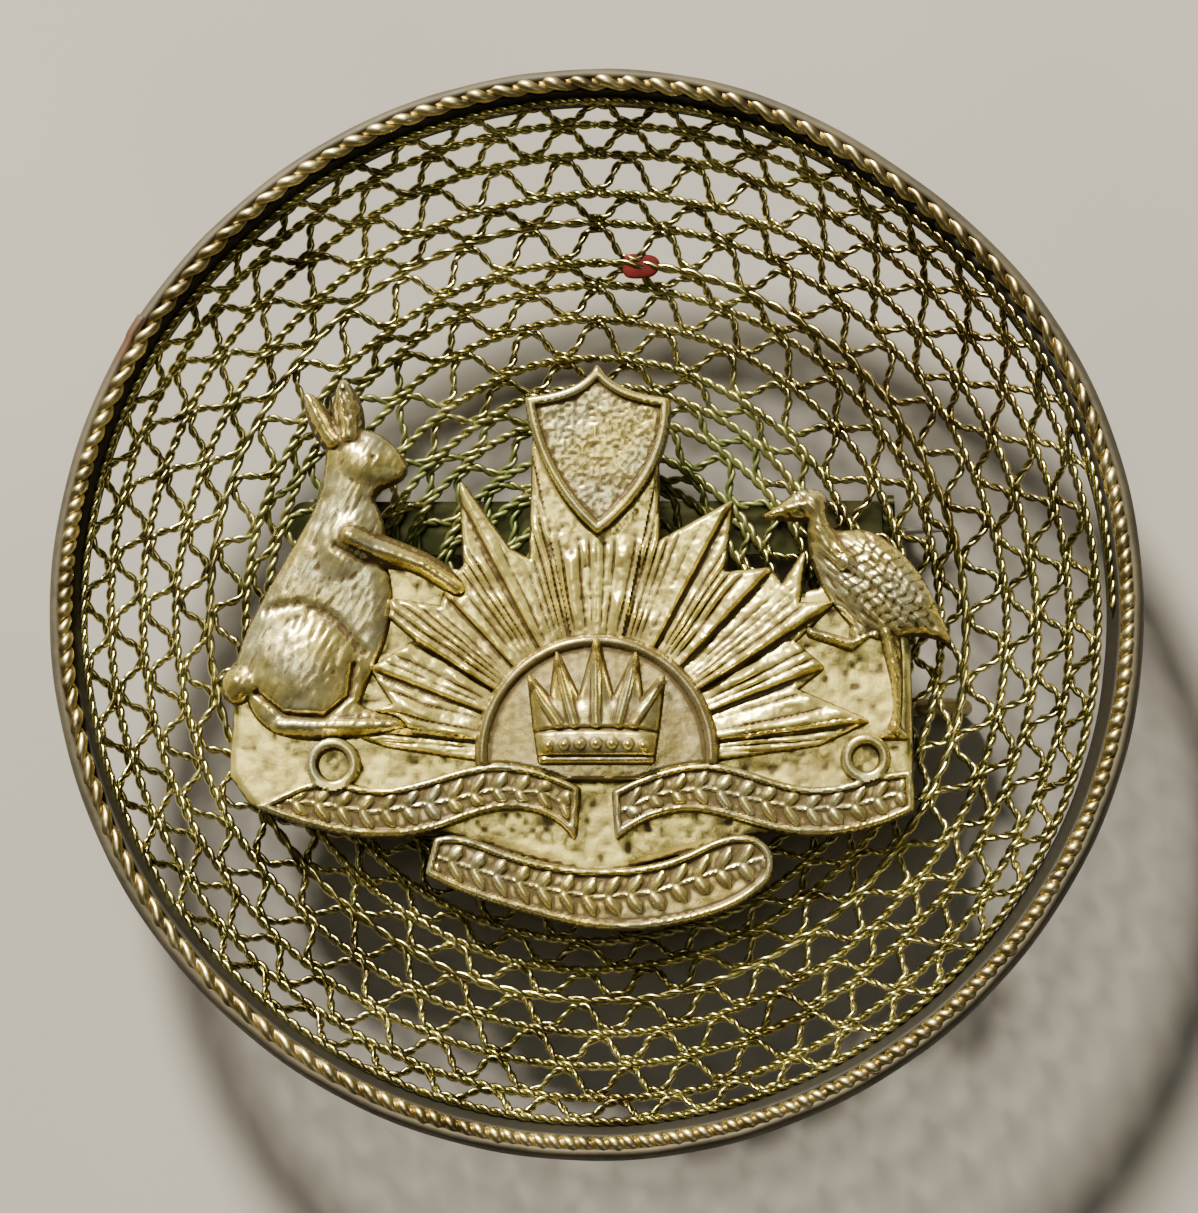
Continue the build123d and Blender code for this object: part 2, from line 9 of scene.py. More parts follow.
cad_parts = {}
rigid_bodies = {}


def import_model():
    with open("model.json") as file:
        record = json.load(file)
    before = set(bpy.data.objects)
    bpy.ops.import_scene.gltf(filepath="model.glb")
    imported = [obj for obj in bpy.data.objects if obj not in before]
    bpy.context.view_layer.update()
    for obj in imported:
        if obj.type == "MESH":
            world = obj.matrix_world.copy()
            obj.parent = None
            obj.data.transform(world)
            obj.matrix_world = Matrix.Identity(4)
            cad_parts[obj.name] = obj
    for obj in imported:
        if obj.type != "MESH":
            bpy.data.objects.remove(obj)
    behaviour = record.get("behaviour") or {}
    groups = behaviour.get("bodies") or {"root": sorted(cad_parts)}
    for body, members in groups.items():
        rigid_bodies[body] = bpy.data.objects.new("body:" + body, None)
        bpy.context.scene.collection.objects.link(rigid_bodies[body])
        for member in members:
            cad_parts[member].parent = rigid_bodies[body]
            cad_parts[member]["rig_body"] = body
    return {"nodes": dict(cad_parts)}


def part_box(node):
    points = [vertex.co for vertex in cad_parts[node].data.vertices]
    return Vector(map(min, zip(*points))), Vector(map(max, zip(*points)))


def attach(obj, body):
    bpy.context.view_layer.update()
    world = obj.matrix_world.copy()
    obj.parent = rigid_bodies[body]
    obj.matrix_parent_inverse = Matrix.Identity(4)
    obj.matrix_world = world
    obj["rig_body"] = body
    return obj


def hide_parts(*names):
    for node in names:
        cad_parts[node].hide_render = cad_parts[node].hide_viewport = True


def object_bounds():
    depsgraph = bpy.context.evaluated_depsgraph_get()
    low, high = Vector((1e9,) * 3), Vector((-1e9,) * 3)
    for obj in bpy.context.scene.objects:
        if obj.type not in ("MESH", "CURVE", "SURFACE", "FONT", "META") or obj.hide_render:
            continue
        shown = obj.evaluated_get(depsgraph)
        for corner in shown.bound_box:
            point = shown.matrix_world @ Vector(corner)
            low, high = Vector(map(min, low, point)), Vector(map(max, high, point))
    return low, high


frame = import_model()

# The looks of a struck emblem on a dish of twisted wirework. Lengths here are in millimetres,
# in the frame's axes, and new_mesh() turns them into metres.

CAD_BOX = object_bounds()
MM = 0.001
UP = np.array([0.0, 0.0, 1.0])
rng = np.random.default_rng(1915)

# --- the wirework's driving dimensions, the same as the CAD part's ---

TURN_RADII = (1.6, 2.7, 4.0, 5.1, 6.6, 7.7, 9.3, 10.4, 11.6,
              13.4, 14.9, 15.8, 17.6, 18.8, 20.4, 21.6, 22.5)
BOTTOM_SHIFT = 0.2
ROW_SLANT = 1.85
STEEPNESS = 0.7
MESH_FLOOR = 3.2
TURNS = len(TURN_RADII) - 1

WIRE_STRAND = 0.122          # radius of one of the two strands
WIRE_OFFSET = 0.105          # from the wire's centre line to a strand's
WIRE_PITCH = 1.30            # length of a full twist
LOOSE_PITCH = 2.05           # and in the one turn that is twisted more loosely
LOOSE_TURN = 11
CRIMP_STRAND = 0.106
CRIMP_OFFSET = 0.090
CRIMP_PITCH = 1.3
CRIMP_DROP = 0.06            # how far the crimped wire lies below the spiral
CRIMP_HALF_PITCH = 1.37      # along the row, from an inner bend to the next outer one
CRIMP_INSET = 0.24           # from a turn's centre line to the bend that is soldered to it
CRIMP_SQUARENESS = 1.7       # 0 is a plain wave, and more makes its flanks steeper
CRIMP_SWAY = 0.04            # how far the crimped wire weaves up and down
TAIL_LENGTH = 0.25           # the last turn's end, tucked inside the rim, as a share of a turn
TAIL_CRIMP = 0.21            # how far the crimped wire follows it
LUG_GAP = 0.62               # from a lug's middle to the crimped wire that makes way for it
SHORTEST_RUN = 6             # a stretch of crimped wire with no more points than this is left out
STRAND_SIDES = 6
STEPS_PER_TWIST = 8
STEPS_PER_BEND = 13

RIM_RADIUS = 24.0
RIM_SEAM_ANGLE = 300.5       # degrees clockwise from the top
RIM_INSET = 0.09             # how far the strip's profile is drawn in
SEAM_LAP = 2.6               # how far its ends overlap, in degrees
LAP_LIFT = 0.08              # how far the end on top stands out
ROPE_STRAND = 0.265
ROPE_OFFSET = 0.165
ROPE_BEAD = 0.22             # how much a strand swells where it passes over the top
ROPE_MIDDLE = 23.2
ROPE_SINK = 0.34             # its centre line's depth below the channel's top
ROPE_PITCH = 2.3
ROPE_TIGHTENING = 1.0        # how much shorter its pitch is over the tighter stretches
ROPE_SIDES = 12
DENT_ANGLE = 36.0            # where the rim was once knocked in, clockwise from the top
DENT_WIDTH = 15.0
DENT_DEPTH = 0.32
LEFT_BULGE = 0.12            # how much closer to the rim the outer turns lie on the left
LEFT_BULGE_ANGLE = 255.0
LEFT_BULGE_WIDTH = 45.0
NEAR_RIM = 19.5              # past this radius the dent and the bulge begin to move the wire
NEAR_RIM_WIDTH = 3.0

BOSS_CENTRE = (0.0, -6.2)
BOSS_RADIUS = 5.3
DRAFT = 0.07                 # how far a struck plate's foot stands out from its top edge
EDGE_SOFTENING = 2           # rounds of blurring that take the corners off a plate's outline
HOLLOW_REACH = 14            # rounds of blurring that a place is compared with to find hollows
HOLLOW_DEPTH = 0.055
HOLLOW_START = 0.44
SIDE_HOLLOW = 0.85           # how dirty a plate's sides are
SHARP_ANGLE = 50.0           # edges past this angle are drawn sharp


# --- meshes ---

def new_mesh(name, points, faces, material, layers=None):
    """A smooth object from points in millimetres. layers are named values, one for each point."""
    mesh = bpy.data.meshes.new(name)
    mesh.from_pydata((np.asarray(points) * MM).tolist(), [], faces)
    mesh.update()
    mesh.polygons.foreach_set("use_smooth", np.ones(len(mesh.polygons), bool))
    for layer, values in (layers or {}).items():
        attribute = mesh.attributes.new(layer, "FLOAT", "POINT")
        attribute.data.foreach_set("value", np.asarray(values, np.float32))
    piece = bpy.data.objects.new(name, mesh)
    bpy.context.scene.collection.objects.link(piece)
    mesh.materials.append(material)
    return piece


def place(piece, node):
    """The piece stands for a CAD node and moves with its body."""
    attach(piece, frame["nodes"][node]["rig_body"])
    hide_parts(node)


def unit(vectors):
    return vectors / np.maximum(np.linalg.norm(vectors, axis=-1, keepdims=True), 1e-12)


def path_frame(path, closed=False):
    """Two directions across a path that stay close to level and upright."""
    if closed:
        along = unit(np.roll(path, -1, 0) - np.roll(path, 1, 0))
    else:
        along = unit(np.gradient(path, axis=0))
    side = unit(np.cross(UP, along))
    return side, np.cross(along, side)


def path_length(path):
    steps = np.linalg.norm(np.diff(path, axis=0), axis=1)
    return np.concatenate([[0.0], np.cumsum(steps)])


def tube_faces(rings, sides, first=0, closed=False):
    """Quads between rings of points, and a cap on each open end."""
    ring = np.arange(rings if closed else rings - 1)[:, None]
    side = np.arange(sides)[None, :]
    after = (ring + 1) % rings
    around = (side + 1) % sides
    quads = np.stack([ring * sides + side, ring * sides + around,
                      after * sides + around, after * sides + side], -1).reshape(-1, 4) + first
    faces = quads.tolist()
    if not closed:
        last = first + (rings - 1) * sides
        faces.append([first + s for s in reversed(range(sides))])
        faces.append([last + s for s in range(sides)])
    return faces


def twisted_strands(path, offset, radius, turn_angle, closed=False, sides=STRAND_SIDES, bead=0.0):
    """Two round strands that wind round a path. turn_angle is the twist at each point of it.
    bead is how much a strand swells where it passes over the top. Gives points and faces."""
    side, up = path_frame(path, closed=closed)
    points = []
    faces = []
    for strand in range(2):
        twist = (turn_angle + math.pi * strand)[:, None]
        centre = path + offset * (np.cos(twist) * side + np.sin(twist) * up)
        cross_side, cross_up = path_frame(centre, closed=closed)
        for_sides = np.arange(sides) * 2 * math.pi / sides
        swell = (radius * (1 + bead * (np.sin(twist) - 1)))[:, :, None]
        ring = (centre[:, None, :]
                + swell * np.cos(for_sides)[None, :, None] * cross_side[:, None, :]
                + swell * np.sin(for_sides)[None, :, None] * cross_up[:, None, :])
        faces += tube_faces(len(path), sides, first=strand * len(path) * sides, closed=closed)
        points.append(ring.reshape(-1, 3))
    return np.concatenate(points), faces


# --- the spiral ---

def spiral_crossings():
    """Where the spiral crosses the dish's vertical axis, as (y, z), top and bottom in turn."""
    heights = [MESH_FLOOR]
    for inner, outer in zip(TURN_RADII, TURN_RADII[1:]):
        lost = math.sqrt(max(ROW_SLANT**2 - (outer - inner) ** 2, 0))
        heights.append(heights[-1] + STEEPNESS * lost * (outer / TURN_RADII[-1]) ** 1.5)
    crossings = []
    for i, (radius, height) in enumerate(zip(TURN_RADII, heights)):
        crossings.append((radius, height))
        if i < TURNS:
            bottom = (radius + TURN_RADII[i + 1]) / 2 + BOTTOM_SHIFT
            crossings.append((-bottom, (height + heights[i + 1]) / 2))
    crossings.append((-TURN_RADII[-1], heights[-1]))
    return np.array(crossings)


CROSSINGS = spiral_crossings()
WOBBLE_PHASES = rng.uniform(0, 2 * math.pi, 12)      # the wobble uses the first six


def wobble(turns):
    """The hand-wound unevenness of the spiral, in and out, and up and down."""
    around = 2 * math.pi * turns
    a, b, c, d, e, f = WOBBLE_PHASES[:6]
    outward = (0.05 * np.sin(2.3 * around + a) + 0.04 * np.sin(5.1 * around + b)
               + 0.025 * np.sin(11.7 * around + c))
    upward = 0.04 * np.sin(3.1 * around + d) + 0.025 * np.sin(7.9 * around + e)
    calm = np.clip((TURNS - turns) / 1.5, 0.25, 1)
    return outward * calm, (upward + 0.02 * np.sin(13.3 * around + f)) * calm


def clockwise_angle(x, y):
    """Degrees clockwise from the top, seen from the front."""
    return np.degrees(np.arctan2(x, y)) % 360


def dent(degrees):
    """How far in the rim's knock pushes at an angle."""
    return DENT_DEPTH * np.exp(-(((degrees - DENT_ANGLE + 180) % 360 - 180) / DENT_WIDTH) ** 2)


def spiral_points(turns):
    """Centre line of the spiral wire after so many turns, as half circles end to end."""
    turns = np.clip(np.asarray(turns, float), 0, TURNS + 0.5)
    half = np.minimum((2 * turns).astype(int), len(CROSSINGS) - 2)
    start, end = CROSSINGS[half], CROSSINGS[half + 1]
    angle = math.pi * (2 * turns - half)
    across = np.abs(start[:, 0] - end[:, 0]) / 2
    side = np.where(start[:, 0] > 0, 1, -1)
    done = (1 - np.cos(angle)) / 2
    x = side * across * np.sin(angle)
    y = start[:, 0] + (end[:, 0] - start[:, 0]) * done
    z = start[:, 1] + (end[:, 1] - start[:, 1]) * done
    outward, upward = wobble(turns)
    radius = np.maximum(np.hypot(x, y), 1e-6)
    degrees = clockwise_angle(x, y)
    near_rim = np.clip((radius - NEAR_RIM) / NEAR_RIM_WIDTH, 0, 1)
    bulge = LEFT_BULGE * np.exp(-((degrees - LEFT_BULGE_ANGLE) / LEFT_BULGE_WIDTH) ** 2)
    outward = outward + (bulge - dent(degrees)) * near_rim
    return np.stack([x + outward * x / radius, y + outward * y / radius, z + upward], -1)


def spiral_wire(turn, material):
    """One turn of the twisted wire."""
    mean = (TURN_RADII[turn] + TURN_RADII[turn + 1]) / 2
    length = 1 + (TAIL_LENGTH if turn == TURNS - 1 else 0)
    pitch = LOOSE_PITCH if turn == LOOSE_TURN else WIRE_PITCH
    steps = int(2 * math.pi * mean * length / (pitch / STEPS_PER_TWIST))
    turns = np.linspace(turn, turn + length, steps + 1)
    path = spiral_points(turns)
    before = 2 * math.pi * sum(TURN_RADII[:turn + 1])
    twist = 2 * math.pi * (before + path_length(path)) / pitch
    points, faces = twisted_strands(path, WIRE_OFFSET, WIRE_STRAND, twist)
    piece = new_mesh(f"twisted_wire_{turn + 1:02d}", points, faces, material)
    place(piece, f"wire_turn_{turn + 1:02d}")


def row_bends(row):
    """How many bends a row of crimped wire has, inner and outer together."""
    mean = (TURN_RADII[row] + TURN_RADII[row + 1]) / 2 + BOTTOM_SHIFT / 2
    return max(round(2 * math.pi * mean / CRIMP_HALF_PITCH), 6)


def crimp_path(row):
    """Centre line of a row of crimped wire: a rounded wave, a little unevenly spaced.
    It goes on where the row inside it stopped."""
    bends = row_bends(row)
    before = sum(row_bends(r) for r in range(row))
    last = round(bends * (1 + TAIL_CRIMP)) if row == TURNS - 2 else bends
    wave = np.linspace(0, last, last * STEPS_PER_BEND + 1)
    knots = np.arange(last + 1)
    ends_still = np.minimum(1, np.minimum(wave, last - wave))
    spacing = np.interp(wave, knots, rng.normal(0, 0.06, last + 1)) * ends_still
    reach = np.interp(wave, knots, rng.normal(0, 0.02, last + 1)) * ends_still
    swing = np.arctan(CRIMP_SQUARENESS * np.cos(math.pi * (wave + before)))
    swing /= math.atan(CRIMP_SQUARENESS)
    turns = row + (wave + spacing) / bends
    inner = spiral_points(turns)
    outer = spiral_points(turns + 1)
    across = outer - inner
    width = np.linalg.norm(across, axis=1, keepdims=True)
    inset = CRIMP_INSET / width
    inward = (0.5 - 0.5 * swing + reach)[:, None]
    line = inner + across * (inset + (1 - 2 * inset) * inward)
    line[:, 2] += CRIMP_SWAY * np.sin(2 * math.pi * wave) - CRIMP_DROP
    return line


def middle_of(node):
    """The middle of a CAD node, as (x, y) in millimetres."""
    low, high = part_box(node)
    return (low.x + high.x) / 2 / MM, (low.y + high.y) / 2 / MM


LUG_PLACES = [middle_of(node) for node in ("lug_left", "lug_right")]


def clear_runs(path):
    """The path's stretches that pass no lug."""
    near = np.zeros(len(path), bool)
    for x, y in LUG_PLACES:
        near |= np.hypot(path[:, 0] - x, path[:, 1] - y) < LUG_GAP
    runs = []
    start = 0
    for i in range(1, len(path) + 1):
        if i == len(path) or near[i]:
            if i - start > SHORTEST_RUN:
                runs.append(path[start:i])
            start = i + 1
    return runs


def crimped_wire(row, material):
    """One row of the crimped wire, open where a lug comes through."""
    points = []
    faces = []
    for run in clear_runs(crimp_path(row)):
        twist = 2 * math.pi * path_length(run) / CRIMP_PITCH
        run_points, run_faces = twisted_strands(run, CRIMP_OFFSET, CRIMP_STRAND, twist)
        first = sum(len(p) for p in points)
        faces += [[first + v for v in face] for face in run_faces]
        points.append(run_points)
    piece = new_mesh(f"crimped_wire_{row + 1:02d}", np.concatenate(points), faces, material)
    place(piece, f"crimp_row_{row + 1:02d}")


# --- the rim ---

RIM_PROFILE = (              # (radius, height above the channel's foot), round the strip's section
    (22.84, 1.24), (22.72, 0.95), (22.55, 0.50), (22.40, 0.12), (22.48, 0.02), (22.70, 0.0),
    (23.60, 0.0), (23.85, 0.05), (23.96, 0.25), (24.0, 0.60), (23.99, 0.95), (23.93, 1.30),
    (23.87, 1.55), (23.79, 1.73), (23.66, 1.81), (23.52, 1.80), (23.47, 1.68), (23.52, 1.45),
    (23.62, 1.0), (23.60, 0.45), (23.40, 0.30), (22.90, 0.30), (22.85, 0.50), (23.0, 0.95),
    (23.08, 1.20), (23.02, 1.29), (22.92, 1.30),
)
TIGHT_TWIST = ((72, 205), (262, 290))      # stretches of the rim's rope, in degrees


def rim_rope(material):
    """A heavy two-strand wire in the channel, twisted tighter over two stretches."""
    _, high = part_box("rim_channel")
    channel_top = high.z / MM
    steps = 1700
    angle = np.linspace(0, 2 * math.pi, steps, endpoint=False)
    degrees = np.degrees(angle)
    tight = np.zeros(steps)
    for start, end in TIGHT_TWIST:
        tight += 1 / (1 + np.exp(-(degrees - start) / 3)) - 1 / (1 + np.exp(-(degrees - end) / 3))
    pitch = ROPE_PITCH - ROPE_TIGHTENING * tight
    rate = ROPE_MIDDLE * (2 * math.pi / steps) / pitch
    twist = np.concatenate([[0], np.cumsum(rate)[:-1]])
    twist *= round(twist[-1] + rate[-1]) / (twist[-1] + rate[-1])
    radius = ROPE_MIDDLE + 0.02 * np.sin(3 * angle + 1) + 0.015 * np.sin(8 * angle) - dent(degrees)
    lift = 0.015 * np.sin(5 * angle + 2) - 0.015
    height = channel_top - ROPE_SINK + lift
    path = np.stack([radius * np.sin(angle), radius * np.cos(angle), height], -1)
    uneven = (0.07 * np.sin(53 * angle + 1) + 0.06 * np.sin(89 * angle + 2)
              + 0.05 * np.sin(131 * angle))
    strand = ROPE_STRAND * (1 + uneven)[:, None]
    points, faces = twisted_strands(path, ROPE_OFFSET, strand, 2 * math.pi * twist,
                                    closed=True, sides=ROPE_SIDES, bead=ROPE_BEAD)
    piece = new_mesh("rim_twisted_wire", points, faces, material)
    place(piece, "rim_rope")


def rim_channel(material):
    """The folded strip, a little uneven, knocked in at one place and lapped at its seam."""
    low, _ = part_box("rim_channel")
    bottom = low.z / MM
    steps = 900
    turn = np.linspace(0, 1, steps)
    angle = np.radians(RIM_SEAM_ANGLE) + turn * np.radians(360 + SEAM_LAP)
    lap = np.clip((turn * (360 + SEAM_LAP) - 359.6) / 0.8, 0, 1)
    uneven = (0.02 * np.sin(4 * angle + 0.4) + 0.012 * np.sin(11 * angle)
              + 0.008 * np.sin(29 * angle))
    inward = dent(np.degrees(angle) % 360) + RIM_INSET - uneven - LAP_LIFT * lap
    points = []
    for profile_radius, up in RIM_PROFILE:
        ripple = 0.012 * np.sin(37 * angle + 5 * up) * (up > 1.2)
        radius = profile_radius - inward + ripple
        height = bottom + up + ripple + (0.03 * up - 0.03) * lap
        points.append(np.stack([radius * np.sin(angle), radius * np.cos(angle), height], -1))
    points = np.stack(points, 1).reshape(-1, 3)
    faces = tube_faces(steps, len(RIM_PROFILE))
    piece = new_mesh("rim_strip", points, faces, material)
    place(piece, "rim_channel")


# --- relief ---

def top_edges(node):
    """The edge of a CAD plate's flat top, as segments, with the plate's base and top heights."""
    mesh = frame["nodes"][node].data
    co = np.zeros(len(mesh.vertices) * 3)
    mesh.vertices.foreach_get("co", co)
    co = co.reshape(-1, 3) / MM
    top, base = co[:, 2].max(), co[:, 2].min()
    mesh.calc_loop_triangles()
    corners = np.zeros(len(mesh.loop_triangles) * 3, int)
    mesh.loop_triangles.foreach_get("vertices", corners)
    corners = corners.reshape(-1, 3)
    flat = corners[(co[corners][:, :, 2] > top - 1e-3).all(1)]
    keys, same = np.unique(np.round(co[:, :2], 4), axis=0, return_inverse=True)
    flat = same.reshape(-1)[flat]
    pairs = np.sort(np.concatenate([flat[:, [0, 1]], flat[:, [1, 2]], flat[:, [2, 0]]]), 1)
    edges, uses = np.unique(pairs, axis=0, return_counts=True)
    edges = edges[uses == 1]
    return keys[edges[:, 0]], keys[edges[:, 1]], base, top


def signed_distance(x, y, starts, ends):
    """Distance to the nearest edge, positive inside."""
    points = np.stack([x.ravel(), y.ravel()], -1)
    best = np.full(len(points), 1e9)
    inside = np.zeros(len(points), bool)
    for a, b in zip(starts, ends):
        along = b - a
        share = np.clip(((points - a) @ along) / max(along @ along, 1e-12), 0, 1)
        gap = points - a - share[:, None] * along
        best = np.minimum(best, (gap**2).sum(1))
        crosses = (a[1] > points[:, 1]) != (b[1] > points[:, 1])
        rise = b[1] - a[1] if abs(b[1] - a[1]) > 1e-12 else 1e-12
        inside ^= crosses & (points[:, 0] < a[0] + (points[:, 1] - a[1]) * along[0] / rise)
    return (np.sqrt(best) * np.where(inside, 1, -1)).reshape(x.shape)


def blurred(field, rounds):
    """A field after so many rounds of mixing each place with the four beside it."""
    for _ in range(rounds):
        wide = np.pad(field, 1, mode="edge")
        field = (wide[:-2, 1:-1] + wide[2:, 1:-1] + wide[1:-1, :-2] + wide[1:-1, 2:]
                 + 4 * wide[1:-1, 1:-1]) / 8
    return field


def value_noise(x, y, size, seed):
    """Smooth random numbers from -1 to 1, with bumps about so many millimetres across."""
    local = np.random.default_rng(seed)
    table = local.uniform(-1, 1, (97, 97))
    u, v = x / size + 40.5, y / size + 40.5
    i, j = np.floor(u).astype(int), np.floor(v).astype(int)
    s, t = u - i, v - j
    s, t = s * s * (3 - 2 * s), t * t * (3 - 2 * t)
    i, j = i % 96, j % 96
    low = table[i, j] * (1 - s) + table[i + 1, j] * s
    high = table[i, j + 1] * (1 - s) + table[i + 1, j + 1] * s
    return low * (1 - t) + high * t


def rounded(depth, width):
    """A quarter-round rise from an edge, from 0 to 1 over a width."""
    share = np.clip(depth / width, 0, 1)
    return np.sqrt(np.clip(1 - (1 - share) ** 2, 0, 1))


def mound(x, y, cx, cy, half_x, half_y, tilt=0.0):
    """A smooth oval swelling, 1 in its middle."""
    c, s = math.cos(math.radians(tilt)), math.sin(math.radians(tilt))
    u = ((x - cx) * c + (y - cy) * s) / half_x
    v = (-(x - cx) * s + (y - cy) * c) / half_y
    return np.clip(1 - u * u - v * v, 0, None) ** 1.5


def line_distance(x, y, points):
    """Distance to a broken line through the points."""
    best = np.full(x.shape, 1e9)
    for (ax, ay), (bx, by) in zip(points, points[1:]):
        dx, dy = bx - ax, by - ay
        share = np.clip(((x - ax) * dx + (y - ay) * dy) / (dx * dx + dy * dy), 0, 1)
        best = np.minimum(best, np.hypot(x - ax - share * dx, y - ay - share * dy))
    return best


def ridge(x, y, points, width):
    """A rounded ridge along a broken line, 1 on it and 0 past its width."""
    return np.clip(1 - (line_distance(x, y, points) / width) ** 2, 0, 1)


def cell_polygons(depth):
    """Cells of a grid, cut to where depth is positive: points, as grid places, and faces."""
    keys = {}
    places = []

    def point(key, place_at):
        if key not in keys:
            keys[key] = len(places)
            places.append(place_at)
        return keys[key]

    inside = depth > 0
    corners_in = (inside[:-1, :-1].astype(int) + inside[1:, :-1] + inside[1:, 1:] + inside[:-1, 1:])
    faces = []
    for i, j in zip(*np.nonzero(corners_in)):
        ring = [(i, j), (i + 1, j), (i + 1, j + 1), (i, j + 1)]
        if corners_in[i, j] == 4:
            faces.append([point(c, c) for c in ring])
            continue
        face = []
        for a, b in zip(ring, ring[1:] + ring[:1]):
            if inside[a]:
                face.append(point(a, a))
            if inside[a] != inside[b]:
                share = depth[a] / (depth[a] - depth[b])
                share = min(max(share, 0.03), 0.97)
                place_at = (a[0] + (b[0] - a[0]) * share, a[1] + (b[1] - a[1]) * share)
                face.append(point((min(a, b), max(a, b)), place_at))
        if len(face) >= 3:
            faces.append(face)
    return np.array(places, float), faces


def edge_loops(faces):
    """The open edges of a sheet of faces, as closed loops of points in face order."""
    uses = dict.fromkeys(edge for face in faces for edge in zip(face, face[1:] + face[:1]))
    follow = {a: b for (a, b) in uses if (b, a) not in uses}
    loops = []
    while follow:
        start, at = follow.popitem()
        loop = [start]
        while at != start and at in follow:
            loop.append(at)
            at = follow.pop(at)
        if at == start and len(loop) > 2:
            loops.append(loop)
    return loops


def grid_sample(field, places):
    """A field's values at places between grid points."""
    i = np.clip(places[:, 0].astype(int), 0, field.shape[0] - 2)
    j = np.clip(places[:, 1].astype(int), 0, field.shape[1] - 2)
    s, t = places[:, 0] - i, places[:, 1] - j
    return (field[i, j] * (1 - s) * (1 - t) + field[i + 1, j] * s * (1 - t)
            + field[i, j + 1] * (1 - s) * t + field[i + 1, j + 1] * s * t)


def relief(name, node, cell, height, material):
    """A struck plate: the CAD plate's outline, a modelled top, drafted sides and a flat back.
    height(x, y, depth, thickness) gives the top above the plate's base. depth is how far a
    place is inside the outline, and the hollow layer is near 1 in the top's hollows."""
    starts, ends, base, top = top_edges(node)
    margin = 4 * cell
    low = np.minimum(starts.min(0), ends.min(0)) - margin
    high = np.maximum(starts.max(0), ends.max(0)) + margin
    xs = np.arange(low[0], high[0], cell)
    ys = np.arange(low[1], high[1], cell)
    x, y = np.meshgrid(xs, ys, indexing="ij")
    depth = blurred(signed_distance(x, y, starts, ends), EDGE_SOFTENING)
    tops = height(x, y, depth, top - base)
    sunk = blurred(tops, HOLLOW_REACH) - tops
    hollow = np.clip(sunk / HOLLOW_DEPTH + HOLLOW_START, 0, 1)
    steps_x, steps_y = np.gradient(depth, cell)
    places, faces = cell_polygons(depth)
    loops = edge_loops(faces)
    flat_x = low[0] + places[:, 0] * cell
    flat_y = low[1] + places[:, 1] * cell
    points = [np.stack([flat_x, flat_y, base + grid_sample(tops, places)], -1)]
    hollows = [grid_sample(hollow, places)]
    first = len(places)
    out_x, out_y = grid_sample(steps_x, places), grid_sample(steps_y, places)
    foot_loops = []
    for loop in loops:
        at = np.array(loop)
        count = len(at)
        foot = np.stack([flat_x[at] - DRAFT * out_x[at], flat_y[at] - DRAFT * out_y[at],
                         np.full(count, base)], -1)
        points.append(foot)
        hollows.append(np.full(count, SIDE_HOLLOW))
        for k in range(count):
            after = (k + 1) % count
            faces.append([loop[after], loop[k], first + k, first + after])
        foot_loops.append([first + k for k in range(count)])
        first += count
    points = np.concatenate(points)
    order = [v for loop in foot_loops for v in loop]
    outlines = [[Vector(points[v]) for v in loop] for loop in foot_loops]
    for triangle in tessellate_polygon(outlines):
        a, b, c = (order[t] for t in triangle)
        normal = np.cross(points[b] - points[a], points[c] - points[a])
        faces.append([a, b, c] if normal[2] < 0 else [c, b, a])
    piece = new_mesh(name, points, faces, material, layers={"hollow": np.concatenate(hollows)})
    piece.data.set_sharp_from_angle(angle=math.radians(SHARP_ANGLE))
    return piece


# --- the emblem's reliefs ---

GROUP_EDGES = (12.0, 28.3, 43.5, 57.8, 69.2, 83.2, 96.0)   # degrees from the upright ray
DROP_WIDTH = 1.1                                           # degrees that a group's drop takes
RIB_WIDTH = 3.1                                            # degrees
RIB_HEIGHT = 0.27


def plate_height(x, y, depth, thickness):
    """Slightly uneven ground with a rounded edge."""
    grain = 0.035 * value_noise(x, y, 0.9, 3) + 0.02 * value_noise(x, y, 0.3, 4)
    return thickness * (0.8 + 0.2 * rounded(depth, 0.3)) - 0.03 + grain


